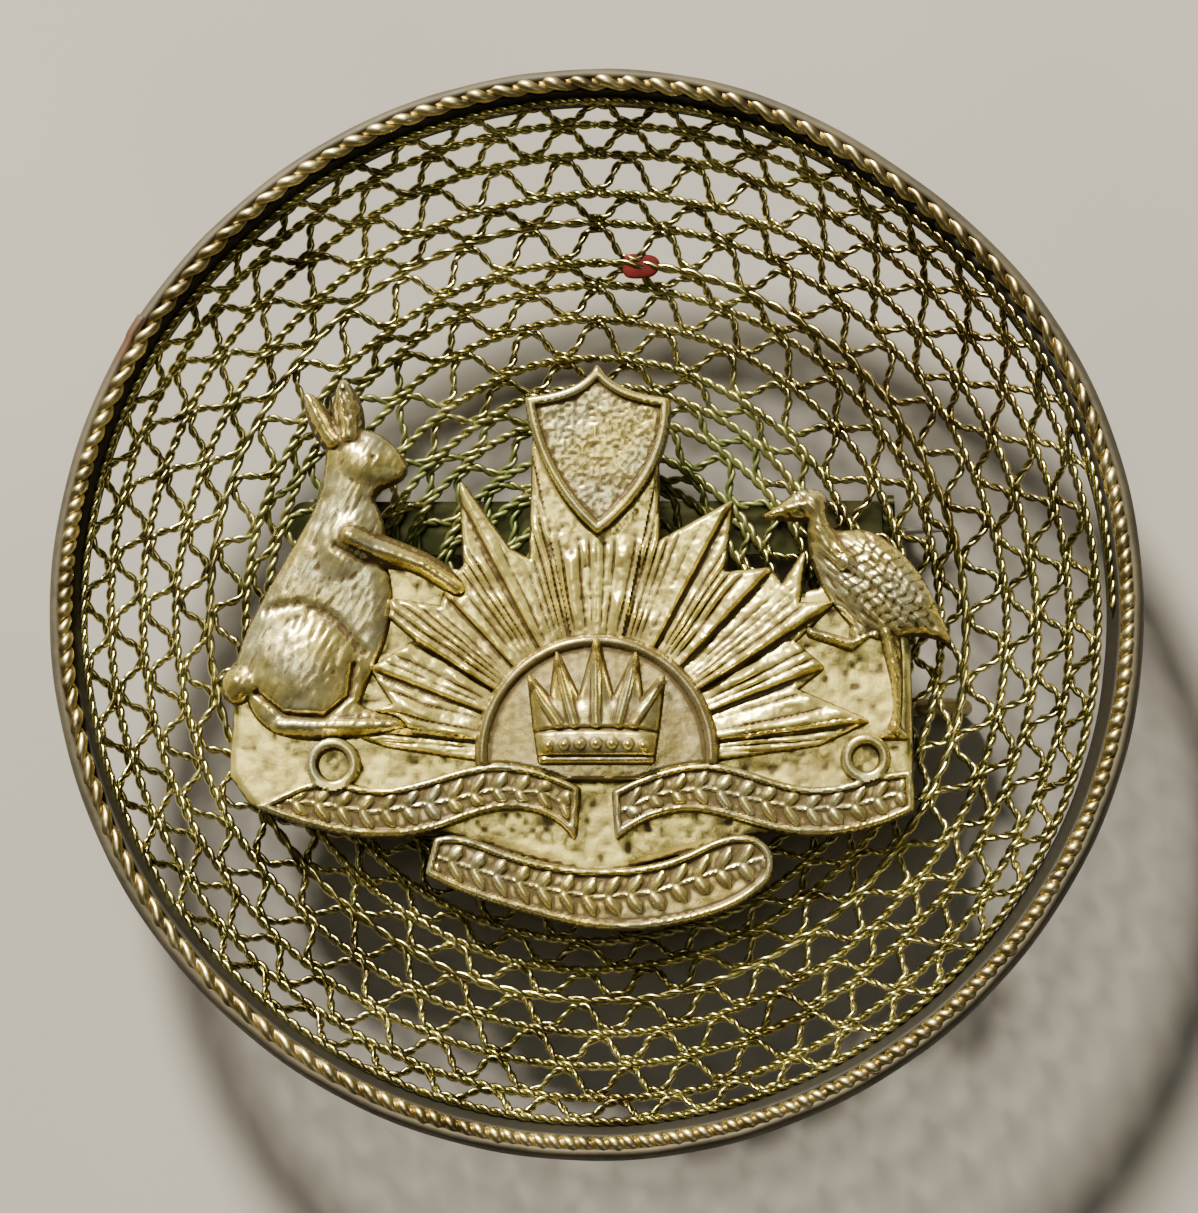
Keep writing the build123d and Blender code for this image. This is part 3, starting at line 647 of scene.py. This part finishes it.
def sunburst_height(x, y, depth, thickness):
    """Rays in overlapping groups: each group rises to its ridge and then drops off steeply."""
    dx, dy = x - BOSS_CENTRE[0], y - BOSS_CENTRE[1]
    reach = np.hypot(dx, dy)
    angle = np.degrees(np.arctan2(dx, dy))
    group = np.zeros(x.shape)
    mirror = np.abs(angle)
    for low, high in zip(GROUP_EDGES, GROUP_EDGES[1:]):
        inside = (mirror >= low) & (mirror < high)
        share = np.clip((mirror - low) / (high - low), 0, 1)
        drop = np.clip((high - mirror) / DROP_WIDTH, 0, 1)
        step = 0.18 + 0.82 * share**0.8 * drop
        group = np.where(inside, step, group)
    middle = mirror < GROUP_EDGES[0]
    group = np.where(middle, 0.62 + 0.25 * np.exp(-(dx / 0.28) ** 2), group)
    rib = angle / RIB_WIDTH + 0.45 * np.sin(angle * 0.37) + 0.12 * value_noise(x, y, 1.6, 13)
    rib_wave = np.abs(np.sin(math.pi * rib))
    rib_height = 0.25 + 0.95 * np.sin(np.floor(rib) * 12.9898) ** 2
    along = np.clip((reach - BOSS_RADIUS) / 1.0, 0, 1)
    fade = np.clip((13.0 - reach) / 4.0, 0.15, 1)
    broken = np.clip(0.75 + 0.7 * value_noise(x, y, 0.8, 14), 0.2, 1.2)
    ribs = RIB_HEIGHT * (rib_wave**0.6) * rib_height * along * fade * broken
    plain = np.clip((dy - 9.0) / 0.8, 0, 1) * middle
    grain = 0.03 * value_noise(x, y, 0.45, 11) + 0.02 * value_noise(x, y, 0.2, 12)
    body = thickness * (0.42 + 0.58 * group)
    edge = 0.6 + 0.4 * rounded(depth, 0.22)
    return body * edge + ribs * (1 - plain) + grain


def boss_height(x, y, depth, thickness):
    """A low dome inside a raised border."""
    radius = np.hypot(x - BOSS_CENTRE[0], y - BOSS_CENTRE[1])
    border = np.clip(1 - ((radius - BOSS_RADIUS + 0.27) / 0.24) ** 2, 0, 1)
    dome = 0.10 * (1 - (radius / BOSS_RADIUS) ** 2)
    grain = 0.018 * value_noise(x, y, 0.8, 21) + 0.008 * value_noise(x, y, 0.2, 22)
    return thickness * 0.55 + dome + 0.22 * border**0.7 + grain - 0.12 * (1 - rounded(depth, 0.12))


def coronet_height(x, y, depth, thickness):
    """A band with a row of beads, leaves above it, and a rounded body."""
    body = thickness * (0.35 + 0.65 * rounded(depth, 0.9))
    band = np.exp(-((y + 5.75 + 0.02 * x**2) / 0.45) ** 2)
    beads = np.zeros(x.shape)
    for bead_x in np.linspace(-2.1, 2.1, 7):
        bead_y = -5.75 - 0.02 * bead_x**2
        beads = np.maximum(beads, mound(x, y, bead_x, bead_y, 0.27, 0.27))
    tips = np.zeros(x.shape)
    veins = np.zeros(x.shape)
    for tip_x, tip_y in ((-3.0, -2.6), (-1.75, -1.6), (0.0, -0.9), (1.75, -1.6), (3.0, -2.6)):
        tips = np.maximum(tips, mound(x, y, tip_x * 0.97, tip_y - 0.45, 0.36, 0.42))
        foot = (tip_x * 0.55, -4.9)
        veins = np.maximum(veins, ridge(x, y, [foot, (tip_x * 0.97, tip_y - 0.3)], 0.22))
    groove = np.exp(-((y + 5.1 + 0.02 * x**2) / 0.10) ** 2) + np.exp(-((y + 6.3) / 0.09) ** 2)
    grain = 0.02 * value_noise(x, y, 0.35, 31)
    return body + 0.1 * band + 0.22 * beads + 0.25 * tips + 0.16 * veins - 0.14 * groove + grain


def shield_height(x, y, depth, thickness):
    """A raised border round a stippled field."""
    border = np.clip((0.42 - depth) / 0.12, 0, 1) * rounded(depth, 0.14)
    stipple = value_noise(x, y, 0.14, 41) * 0.025 + value_noise(x, y, 0.4, 43) * 0.03
    dished = 0.04 * value_noise(x, y, 1.2, 42)
    return thickness * 0.78 + 0.24 * border + (stipple + dished) * (depth > 0.45)


def fur(x, y, lean, seed):
    """Short strokes along a direction."""
    c, s = math.cos(math.radians(lean)), math.sin(math.radians(lean))
    along, across = x * c + y * s, -x * s + y * c
    return value_noise(along * 0.28, across, 0.13, seed)


def hare_height(x, y, depth, thickness):
    """Long ears, cheek, shoulder, forelimb, a big haunch, hind foot and scut, with short fur."""
    body = thickness * (0.27 + 0.42 * rounded(depth, 1.3))
    haunch = mound(x, y, -12.9, -2.3, 2.5, 2.2, 35)
    shoulder = mound(x, y, -11.1, 3.1, 1.3, 1.7, -25)
    cheek = mound(x, y, -10.2, 6.7, 1.25, 1.0, -20)
    scut = mound(x, y, -15.8, -3.0, 0.8, 0.8)
    forelimb = ridge(x, y, [(-10.9, 3.5), (-9.4, 2.85), (-7.6, 2.1), (-6.15, 1.15)], 0.42)
    foot = ridge(x, y, [(-14.0, -4.95), (-11.8, -4.95), (-8.9, -4.95)], 0.4)
    ears = ridge(x, y, [(-11.25, 10.2), (-11.05, 9.2), (-10.9, 8.0)], 0.38)
    ears = np.maximum(ears, ridge(x, y, [(-12.75, 9.7), (-12.3, 8.7), (-11.7, 7.7)], 0.34))
    ear_hollow = ridge(x, y, [(-11.2, 9.9), (-10.95, 8.8)], 0.15)
    eye = mound(x, y, -9.85, 6.95, 0.2, 0.16)
    under_haunch = np.exp(-(line_distance(x, y, [(-15.0, -3.4), (-13.8, -4.35), (-12.0, -4.5),
                                                 (-10.9, -3.6), (-10.7, -2.2)]) / 0.13) ** 2)
    coat = 0.035 * fur(x, y, 62, 51) + 0.015 * value_noise(x, y, 0.6, 52)
    chest_fold = np.exp(-(line_distance(x, y, [(-11.5, 3.0), (-10.4, 2.4), (-8.2, 1.7)]) / 0.18) ** 2)
    flank_fold = np.exp(-(line_distance(x, y, [(-14.6, 0.2), (-13.2, 0.5), (-11.6, -0.1),
                                               (-10.4, -1.6)]) / 0.24) ** 2)
    swell = 0.46 * haunch + 0.32 * shoulder + 0.26 * cheek + 0.40 * forelimb + 0.2 * scut
    return (body + swell + 0.26 * foot + 0.28 * ears - 0.2 * ear_hollow - 0.14 * eye
            - 0.26 * under_haunch - 0.18 * chest_fold - 0.11 * flank_fold + coat)


def crane_height(x, y, depth, thickness):
    """A round body with lapped feathers, a ridged neck and thin legs."""
    body = thickness * (0.38 + 0.3 * rounded(depth, 0.7))
    breast = mound(x, y, 12.7, 1.3, 2.9, 1.9, -38)
    neck = ridge(x, y, [(9.5, 4.9), (9.7, 4.1), (10.1, 3.1), (10.9, 2.3)], 0.5)
    beak = ridge(x, y, [(7.3, 4.35), (8.3, 4.65), (9.0, 4.8)], 0.24)
    leg = ridge(x, y, [(12.7, -0.9), (13.15, -2.8), (13.1, -5.0)], 0.26)
    bent_leg = ridge(x, y, [(12.2, -1.0), (11.2, -1.35), (9.3, -0.75)], 0.24)
    along = (x - 10.6) * 0.72 - (y - 3.0) * 0.69
    across = (x - 10.6) * 0.69 + (y - 3.0) * 0.72
    lap = (along / 0.44 + 0.22 * np.cos(across * 6.4)) % 1.0
    feathers = (lap - 0.5) * np.clip(breast * 3, 0, 1)
    streaks = fur(x, y, -44, 61)
    return (body + 0.5 * breast**0.7 + 0.25 * neck + 0.12 * beak + 0.3 * leg + 0.28 * bent_leg
            + 0.07 * feathers + 0.08 * streaks)


def band_leaves(along, across, half_width):
    """A running laurel: pairs of slanting leaves on a stem."""
    period = 0.98
    place_along = (along / period) % 1.0 - 0.5
    lean = place_along * period - 0.55 * np.abs(across)
    leaf_middle = half_width * 0.42
    spread = (np.abs(across) - leaf_middle) / (half_width * 0.46)
    leaf = np.clip(1 - (lean / 0.27) ** 2 - spread**2, 0, 1)
    stem = np.clip(1 - (across / 0.09) ** 2, 0, 1)
    return np.maximum(leaf**0.6, 0.5 * stem)


def scroll_height(middle_line, half_width, curl=None):
    """A band with raised edges and a running laurel between them, and a rolled end."""
    def height(x, y, depth, thickness):
        across = y - middle_line(x)
        on_band = np.clip((half_width + 0.25 - np.abs(across)) / 0.1, 0, 1)
        leaves = band_leaves(x, across, half_width) * np.clip((depth - 0.30) / 0.08, 0, 1) * on_band
        border = np.clip((0.30 - depth) / 0.09, 0, 1) * rounded(depth, 0.13)
        grain = 0.025 * value_noise(x, y, 0.35, 71)
        top = thickness * 0.80 + 0.19 * border + 0.17 * leaves + grain
        if curl:
            ring = np.hypot(x - curl[0], y - curl[1])
            top = np.where(ring < curl[2] + 0.02, thickness * 0.86 + 0.16 * rounded(depth, 0.2), top)
        return top
    return height


LEFT_CURL = (-11.6, -6.6, 1.15)         # middle and radius of a scroll's rolled end
RIGHT_CURL = (11.8, -6.35, 1.05)


def left_middle(x):
    """The middle of the left scroll's band: its y at x."""
    return np.interp(x, [-14.5, -12.5, -9.8, -6.8, -4.4, -2.2, -0.8],
                     [-8.15, -8.3, -8.7, -8.25, -7.7, -7.9, -8.8])


def right_middle(x):
    """The same for the right scroll."""
    return np.interp(x, [0.8, 2.6, 4.8, 6.8, 9.0, 11.0, 13.8],
                     [-8.8, -7.95, -7.65, -8.15, -8.6, -8.5, -7.75])


def lower_middle(x):
    """The same for the lower scroll."""
    return np.interp(x, [-7.3, -5.0, -2.6, 0.0, 2.6, 5.0, 7.4],
                     [-10.6, -11.3, -12.0, -12.45, -12.2, -11.4, -10.7])


# --- materials ---

class Nodes:
    """A short way to build a node material around one Principled shader."""

    def __init__(self, name):
        self.material = bpy.data.materials.new(name)
        self.material.use_nodes = True
        self.tree = self.material.node_tree
        self.shader = self.tree.nodes["Principled BSDF"]
        self.place = self.new("ShaderNodeTexCoord").outputs["Object"]

    def new(self, kind):
        return self.tree.nodes.new(kind)

    def feed(self, socket, value):
        """Give a socket a link, a number, or a plain colour, which is a tuple."""
        if isinstance(value, bpy.types.NodeSocket):
            self.tree.links.new(value, socket)
        else:
            socket.default_value = (*value, 1.0) if isinstance(value, tuple) else value

    def noise(self, per_mm, detail, roughness=0.55, stretch=None):
        """A noise texture with so many bumps to the millimetre."""
        node = self.new("ShaderNodeTexNoise")
        place_at = self.place
        if stretch:
            mapping = self.new("ShaderNodeMapping")
            self.feed(mapping.inputs["Vector"], place_at)
            mapping.inputs["Scale"].default_value = stretch
            place_at = mapping.outputs["Vector"]
        self.feed(node.inputs["Vector"], place_at)
        node.inputs["Scale"].default_value = per_mm / MM
        node.inputs["Detail"].default_value = detail
        node.inputs["Roughness"].default_value = roughness
        return node.outputs["Fac"]

    def ramp(self, value, stops):
        """A colour ramp: stops are (position, colour or grey)."""
        node = self.new("ShaderNodeValToRGB")
        ramp = node.color_ramp
        for i, (position, colour) in enumerate(stops):
            element = ramp.elements[i] if i < 2 else ramp.elements.new(position)
            element.position = position
            rgb = (colour,) * 3 if isinstance(colour, (int, float)) else colour
            element.color = (*rgb, 1.0)
        self.feed(node.inputs["Fac"], value)
        return node.outputs["Color"]

    def mix(self, share, first, second):
        """A mix of two colours. Sockets 6, 7 and 2 are the node's colour ones."""
        node = self.new("ShaderNodeMix")
        node.data_type = "RGBA"
        self.feed(node.inputs[0], share)
        self.feed(node.inputs[6], first)
        self.feed(node.inputs[7], second)
        return node.outputs[2]

    def math(self, operation, first, second):
        node = self.new("ShaderNodeMath")
        node.operation = operation
        self.feed(node.inputs[0], first)
        self.feed(node.inputs[1], second)
        return node.outputs[0]

    def attribute(self, name):
        node = self.new("ShaderNodeAttribute")
        node.attribute_name = name
        return node.outputs["Fac"]

    def rise(self, value, start, end, kind="LINEAR"):
        """0 where a value is at start, and 1 where it is at end."""
        node = self.new("ShaderNodeMapRange")
        node.interpolation_type = kind
        self.feed(node.inputs["Value"], value)
        node.inputs["From Min"].default_value = start
        node.inputs["From Max"].default_value = end
        return node.outputs["Result"]

    def near(self, centre, radius, soft):
        """1 within a radius in millimetres of a place, and 0 past it, with a soft edge."""
        away = self.new("ShaderNodeVectorMath")
        away.operation = "DISTANCE"
        self.feed(away.inputs[0], self.place)
        away.inputs[1].default_value = [c * MM for c in centre]
        return self.rise(away.outputs["Value"], (radius + soft) * MM, max(radius - soft, 0) * MM,
                         "SMOOTHSTEP")

    def from_axis(self, inner, outer):
        """0 up to one radius from the badge's axis, and 1 past another, in millimetres."""
        flat = self.new("ShaderNodeVectorMath")
        flat.operation = "MULTIPLY"
        self.feed(flat.inputs[0], self.place)
        flat.inputs[1].default_value = (1.0, 1.0, 0.0)
        away = self.new("ShaderNodeVectorMath")
        away.operation = "LENGTH"
        self.feed(away.inputs[0], flat.outputs["Vector"])
        return self.rise(away.outputs["Value"], inner * MM, outer * MM)

    def bump(self, height, depth_mm, strength):
        node = self.new("ShaderNodeBump")
        node.inputs["Strength"].default_value = strength
        node.inputs["Distance"].default_value = depth_mm * MM
        self.feed(node.inputs["Height"], height)
        self.tree.links.new(node.outputs["Normal"], self.shader.inputs["Normal"])

    def finish(self, colour, roughness, metallic):
        self.feed(self.shader.inputs["Base Color"], colour)
        self.feed(self.shader.inputs["Roughness"], roughness)
        self.feed(self.shader.inputs["Metallic"], metallic)
        return self.material


CREAM_GOLD = (0.80, 0.68, 0.19)
PALE_GOLD = (0.70, 0.58, 0.17)
SILVERY = (0.60, 0.55, 0.29)
DULL_GOLD = (0.34, 0.27, 0.09)
HOLLOW_BROWN = (0.075, 0.050, 0.014)
OLIVE_GOLD = (0.58, 0.53, 0.20)
DARK_OLIVE = (0.15, 0.13, 0.035)
VERDIGRIS = (0.055, 0.085, 0.012)
BOSS_BROWN = (0.44, 0.36, 0.17)
DULL_OLIVE = (0.24, 0.21, 0.06)
CRIMP_GOLD = (0.52, 0.47, 0.18)
RIM_GOLD = (0.84, 0.70, 0.33)
RIM_GOLD_DULL = (0.40, 0.31, 0.12)
GRIME_BROWN = (0.16, 0.12, 0.05)
# painted shade for the steeply standing rows at the wirework's upper right
STEEP_ROW_SHADE = (0.20, 0.14, 0.05)
RIM_BROWN = (0.040, 0.034, 0.020)
RIM_BROWN_PALE = (0.078, 0.064, 0.036)
RIM_RUBBED = (0.11, 0.09, 0.05)
# painted shade for the strip's inner side, next to the wires
RIM_INSIDE_SHADE = (0.009, 0.007, 0.003)
SEAM_RUST = (0.075, 0.030, 0.010)
RUB_DEPTH = 0.35             # how far down the strip its upper edge is rubbed
INSIDE_FROM, INSIDE_TO = 22.75, 23.0      # radii between which the strip turns from painted shade to brown
WAX_RED = (0.075, 0.0035, 0.0015)
WAX_DARK = (0.04, 0.002, 0.001)


def emblem_metal(name, high, patch, metal_share):
    """Worn gilt: pale on the high places, brown in the hollows, blotched, finely pitted."""
    n = Nodes(name)
    blotch = n.noise(0.35, 4.0)
    fine = n.noise(2.6, 5.0, 0.65)
    hollow = n.attribute("hollow")
    dirt = n.math("MULTIPLY_ADD", fine, 0.5)
    dirt.node.inputs[2].default_value = -0.25
    dirt = n.math("ADD", hollow, dirt)
    dirt = n.ramp(dirt, [(0.42, 0.0), (0.74, 1.0)])
    colour = n.mix(n.ramp(blotch, [(0.42, 0.0), (0.62, 1.0)]), high, patch)
    colour = n.mix(n.ramp(n.noise(0.8, 3.0), [(0.47, 0.0), (0.68, 0.75)]), colour, DULL_GOLD)
    colour = n.mix(dirt, colour, HOLLOW_BROWN)
    rough = n.ramp(n.math("ADD", n.math("MULTIPLY", dirt, 0.45), n.math("MULTIPLY", fine, 0.35)),
                   [(0.1, 0.24), (0.9, 0.62)])
    n.bump(fine, 0.05, 0.4)
    metal = n.ramp(dirt, [(0.2, metal_share), (1.0, 0.5)])
    return n.finish(colour, rough, metal)


def wire_metal(name, bright, dull, green_share, smooth=0.17):
    """Tarnished twisted wire, with painted shade as a darker brown at the upper right, where the rows
    stand steeply, and green where damp sat by the emblem.
    smooth is the roughness of its shiniest patches."""
    n = Nodes(name)
    patch = n.noise(0.22, 3.0)
    fine = n.noise(1.6, 4.0)
    colour = n.mix(n.ramp(patch, [(0.38, 0.0), (0.66, 1.0)]), bright, dull)
    grime = n.ramp(n.noise(0.55, 4.0, 0.6), [(0.50, 0.0), (0.68, 0.8)])
    colour = n.mix(grime, colour, GRIME_BROWN)
    # painted shade: the steep rows at the upper right are painted a darker brown
    shaded_upper_right = n.near((14.5, 12.5, 8.0), 7.5, 4.5)
    colour = n.mix(n.math("MULTIPLY", shaded_upper_right, 0.6), colour, STEEP_ROW_SHADE)
    damp_left = n.near((-10.0, 5.0, 4.5), 5.5, 4.0)
    damp_top = n.near((-5.2, 5.0, 4.0), 4.0, 2.5)
    damp_right = n.near((5.5, 6.5, 4.0), 3.5, 3.0)
    damp = n.math("MAXIMUM", damp_left, n.math("MAXIMUM", damp_top, damp_right))
    damp = n.math("MULTIPLY", damp, n.ramp(n.noise(0.6, 4.0), [(0.34, 0.3), (0.54, 1.0)]))
    damp = n.math("MULTIPLY", damp, green_share)
    colour = n.mix(damp, colour, VERDIGRIS)
    rough = n.ramp(n.math("ADD", n.math("MULTIPLY", fine, 0.5), n.math("MULTIPLY", damp, 0.5)),
                   [(0.15, smooth), (0.85, smooth + 0.33)])
    n.bump(fine, 0.03, 0.4)
    return n.finish(colour, rough, n.ramp(damp, [(0.2, 1.0), (1.0, 0.35)]))


def rim_strip_metal():
    """Dull brown sheet: rubbed on its upper edge, painted near black on its inner side as painted
    shade, with rust at the seam.
    """
    n = Nodes("dull_strip")
    patch = n.noise(0.3, 4.0)
    streak = n.noise(2.0, 4.0, 0.6, stretch=(1.0, 1.0, 0.25))
    _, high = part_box("rim_channel")
    height = n.new("ShaderNodeSeparateXYZ")
    n.feed(height.inputs[0], n.place)
    rub = n.rise(height.outputs["Z"], high.z - RUB_DEPTH * MM, high.z)
    rub = n.math("MULTIPLY", rub, n.ramp(streak, [(0.35, 0.2), (0.65, 1.0)]))
    colour = n.mix(n.ramp(patch, [(0.4, 0.0), (0.65, 1.0)]), RIM_BROWN, RIM_BROWN_PALE)
    colour = n.mix(n.math("MULTIPLY", rub, 0.5), colour, RIM_RUBBED)
    # painted shade: the strip's inner side, where the wires meet the rim, is painted near black
    colour = n.mix(n.from_axis(INSIDE_FROM, INSIDE_TO), RIM_INSIDE_SHADE, colour)
    seam = math.radians(RIM_SEAM_ANGLE)
    at = (RIM_RADIUS * math.sin(seam), RIM_RADIUS * math.cos(seam), high.z / MM)
    colour = n.mix(n.math("MULTIPLY", n.near(at, 1.0, 0.8), 0.85), colour, SEAM_RUST)
    n.bump(streak, 0.04, 0.5)
    return n.finish(colour, n.ramp(streak, [(0.2, 0.58), (0.8, 0.8)]), 0.35)


def fittings_metal(name, bright, dull):
    """Drawn or rolled metal from behind, with handling marks."""
    n = Nodes(name)
    patch = n.noise(0.4, 4.0)
    drawn = n.noise(1.4, 4.0, 0.6, stretch=(0.12, 1.0, 1.0))
    colour = n.mix(n.ramp(patch, [(0.38, 0.0), (0.66, 1.0)]), bright, dull)
    n.bump(drawn, 0.03, 0.45)
    return n.finish(colour, n.ramp(drawn, [(0.25, 0.26), (0.8, 0.5)]), 1.0)


def red_wax():
    """Dull dark red, with hardly any shine."""
    n = Nodes("red_wax")
    fine = n.noise(2.5, 4.0)
    colour = n.mix(n.ramp(fine, [(0.35, 0.0), (0.7, 1.0)]), WAX_RED, WAX_DARK)
    n.bump(fine, 0.05, 0.5)
    n.shader.inputs["Specular IOR Level"].default_value = 0.15
    return n.finish(colour, 0.7, 0.0)


# --- the making ---

def make_wirework():
    turn_metal = wire_metal("spiral_wire", OLIVE_GOLD, DULL_OLIVE, 0.8)
    crimp_metal = wire_metal("crimped_wire", CRIMP_GOLD, DARK_OLIVE, 0.9)
    for turn in range(TURNS):
        spiral_wire(turn, turn_metal)
    for row in range(TURNS - 1):
        crimped_wire(row, crimp_metal)


def make_rim():
    rim_channel(rim_strip_metal())
    rim_rope(wire_metal("rim_wire", RIM_GOLD, RIM_GOLD_DULL, 0.1, smooth=0.27))


def make_emblem():
    ground = emblem_metal("pale_ground", CREAM_GOLD, PALE_GOLD, 0.72)
    raised = emblem_metal("rubbed_relief", PALE_GOLD, SILVERY, 0.88)
    dark = emblem_metal("rubbed_boss", BOSS_BROWN, DULL_GOLD, 0.85)
    pieces = (
        ("ground", "backing_plate", 0.14, plate_height, ground),
        ("rays", "sunburst", 0.055, sunburst_height, ground),
        ("boss", "centre_boss", 0.09, boss_height, dark),
        ("leaf_coronet", "coronet", 0.06, coronet_height, raised),
        ("plain_shield", "shield", 0.065, shield_height, raised),
        ("hare", "left_supporter", 0.08, hare_height, raised),
        ("crane", "right_supporter", 0.07, crane_height, raised),
        ("left_band", "left_scroll", 0.075, scroll_height(left_middle, 0.95, LEFT_CURL), raised),
        ("right_band", "right_scroll", 0.075, scroll_height(right_middle, 0.95, RIGHT_CURL), raised),
        ("lower_band", "lower_scroll", 0.075, scroll_height(lower_middle, 1.0), raised),
    )
    for name, node, cell, height, metal in pieces:
        place(relief(name, node, cell, height, metal), node)


def finish_fittings():
    """The back fittings keep their CAD shapes and get their metals."""
    sheet = fittings_metal("tarnished_sheet", (0.045, 0.042, 0.018), (0.025, 0.032, 0.011))
    wire = fittings_metal("drawn_wire", (0.55, 0.47, 0.26), (0.33, 0.27, 0.13))
    steel = fittings_metal("drawn_steel", (0.52, 0.51, 0.48), (0.36, 0.35, 0.33))
    metals = {"lug_left": wire, "lug_right": wire, "split_pin": wire, "back_bar": sheet,
              "hinge_bracket": sheet, "catch_base": sheet, "catch_rotor": sheet,
              "hinge_rivet": steel, "brooch_pin": steel}
    for node, metal in metals.items():
        mesh = frame["nodes"][node].data
        mesh.materials.clear()
        mesh.materials.append(metal)


FLECK_TURN = 10.02
FLECK_SHIFT = (-0.1, 0.42, 0.34)          # from midway between that turn and the next
FLECK_HALF = (0.92, 0.60)
FLECK_LAYERS = ((0.75, -0.13), (1.0, 0.0), (0.8, 0.12))    # shares of its size, and heights
FLECK_SIDES = 14


def red_fleck():
    """A crumb of red wax caught between two turns near the top."""
    turns = np.array([FLECK_TURN])
    inner = spiral_points(turns)[0]
    outer = spiral_points(turns + 1)[0]
    centre = (inner + outer) / 2 + np.array(FLECK_SHIFT)
    points = []
    for layer, (grow, lift) in enumerate(FLECK_LAYERS):
        for k in range(FLECK_SIDES):
            a = 2 * math.pi * k / FLECK_SIDES
            square = 1 / max(abs(math.cos(a)), abs(math.sin(a))) ** 0.7
            wave = 1 + 0.07 * math.sin(3 * a + layer) + 0.04 * math.sin(7 * a)
            points.append(centre + np.array([FLECK_HALF[0] * grow * square * wave * math.cos(a),
                                             FLECK_HALF[1] * grow * square * wave * math.sin(a),
                                             lift]))
    faces = tube_faces(len(FLECK_LAYERS), FLECK_SIDES)
    piece = new_mesh("red_fleck", points, faces, red_wax())
    softening = piece.modifiers.new("soft", "SUBSURF")
    softening.levels = softening.render_levels = 2
    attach(piece, "badge")


def make_floor():
    """A pale floor three metres wide, level with the badge's lowest point."""
    mesh = bpy.data.meshes.new("floor")
    half = 1.5
    floor_z = CAD_BOX[0][2]
    mesh.from_pydata([(-half, -half, floor_z), (half, -half, floor_z), (half, half, floor_z),
                      (-half, half, floor_z)], [], [(0, 1, 2, 3)])
    floor = bpy.data.objects.new("floor", mesh)
    bpy.context.scene.collection.objects.link(floor)
    n = Nodes("pale_floor")
    shade = n.noise(0.03, 2.0)
    colour = n.mix(n.ramp(shade, [(0.3, 0.0), (0.7, 1.0)]),
                   (0.27, 0.25, 0.215), (0.30, 0.28, 0.245))
    mesh.materials.append(n.finish(colour, 0.9, 0.0))


def make_camera():
    """Above the badge, a little below its lower edge and to its right."""
    camera = bpy.data.objects.new("camera", bpy.data.cameras.new("camera"))
    bpy.context.scene.collection.objects.link(camera)
    target = Vector((0.00015, 0.0002, 0.0095))
    distance = 0.26
    tilt = math.radians(4.5)
    turn = math.radians(20.0)
    away = Vector((math.sin(tilt) * math.sin(turn), -math.sin(tilt) * math.cos(turn), math.cos(tilt)))
    right = Vector((0.0, 1.0, 0.0)).cross(away).normalized()
    up = away.cross(right)
    camera.location = target + away * distance
    camera.rotation_euler = Matrix((right, up, away)).transposed().to_euler()
    camera.data.sensor_fit = "HORIZONTAL"
    camera.data.sensor_width = 36.0
    view_width = 0.0523
    camera.data.lens = camera.data.sensor_width * distance / view_width
    camera.data.clip_start = 0.01
    bpy.context.scene.camera = camera


def soft_light(name, at, size, power, colour):
    """A round area light that faces the badge's middle."""
    data = bpy.data.lights.new(name, "AREA")
    data.shape = "DISK"
    data.size = size
    data.energy = power
    data.color = colour
    light = bpy.data.objects.new(name, data)
    light.location = at
    away = Vector(at) - Vector((0, 0, 0.006))
    light.rotation_euler = away.to_track_quat("Z", "Y").to_euler()
    bpy.context.scene.collection.objects.link(light)


def make_lights():
    """A warm key from past the emblem's top, a weak fill, a soft front light and a dim sky."""
    soft_light("key", (-0.17, 0.42, 0.37), 0.11, 15.5, (1.0, 0.95, 0.83))
    soft_light("fill", (0.30, -0.30, 0.40), 0.30, 0.12, (0.95, 0.97, 1.0))
    soft_light("front", (-0.05, 0.09, 0.55), 0.22, 0.55, (1.0, 0.96, 0.82))
    world = bpy.data.worlds.new("studio")
    world.use_nodes = True
    world.node_tree.nodes["Background"].inputs["Color"].default_value = (0.75, 0.76, 0.78, 1)
    world.node_tree.nodes["Background"].inputs["Strength"].default_value = 0.05
    bpy.context.scene.world = world


make_wirework()
make_rim()
make_emblem()
finish_fittings()
red_fleck()
make_floor()
make_camera()
make_lights()
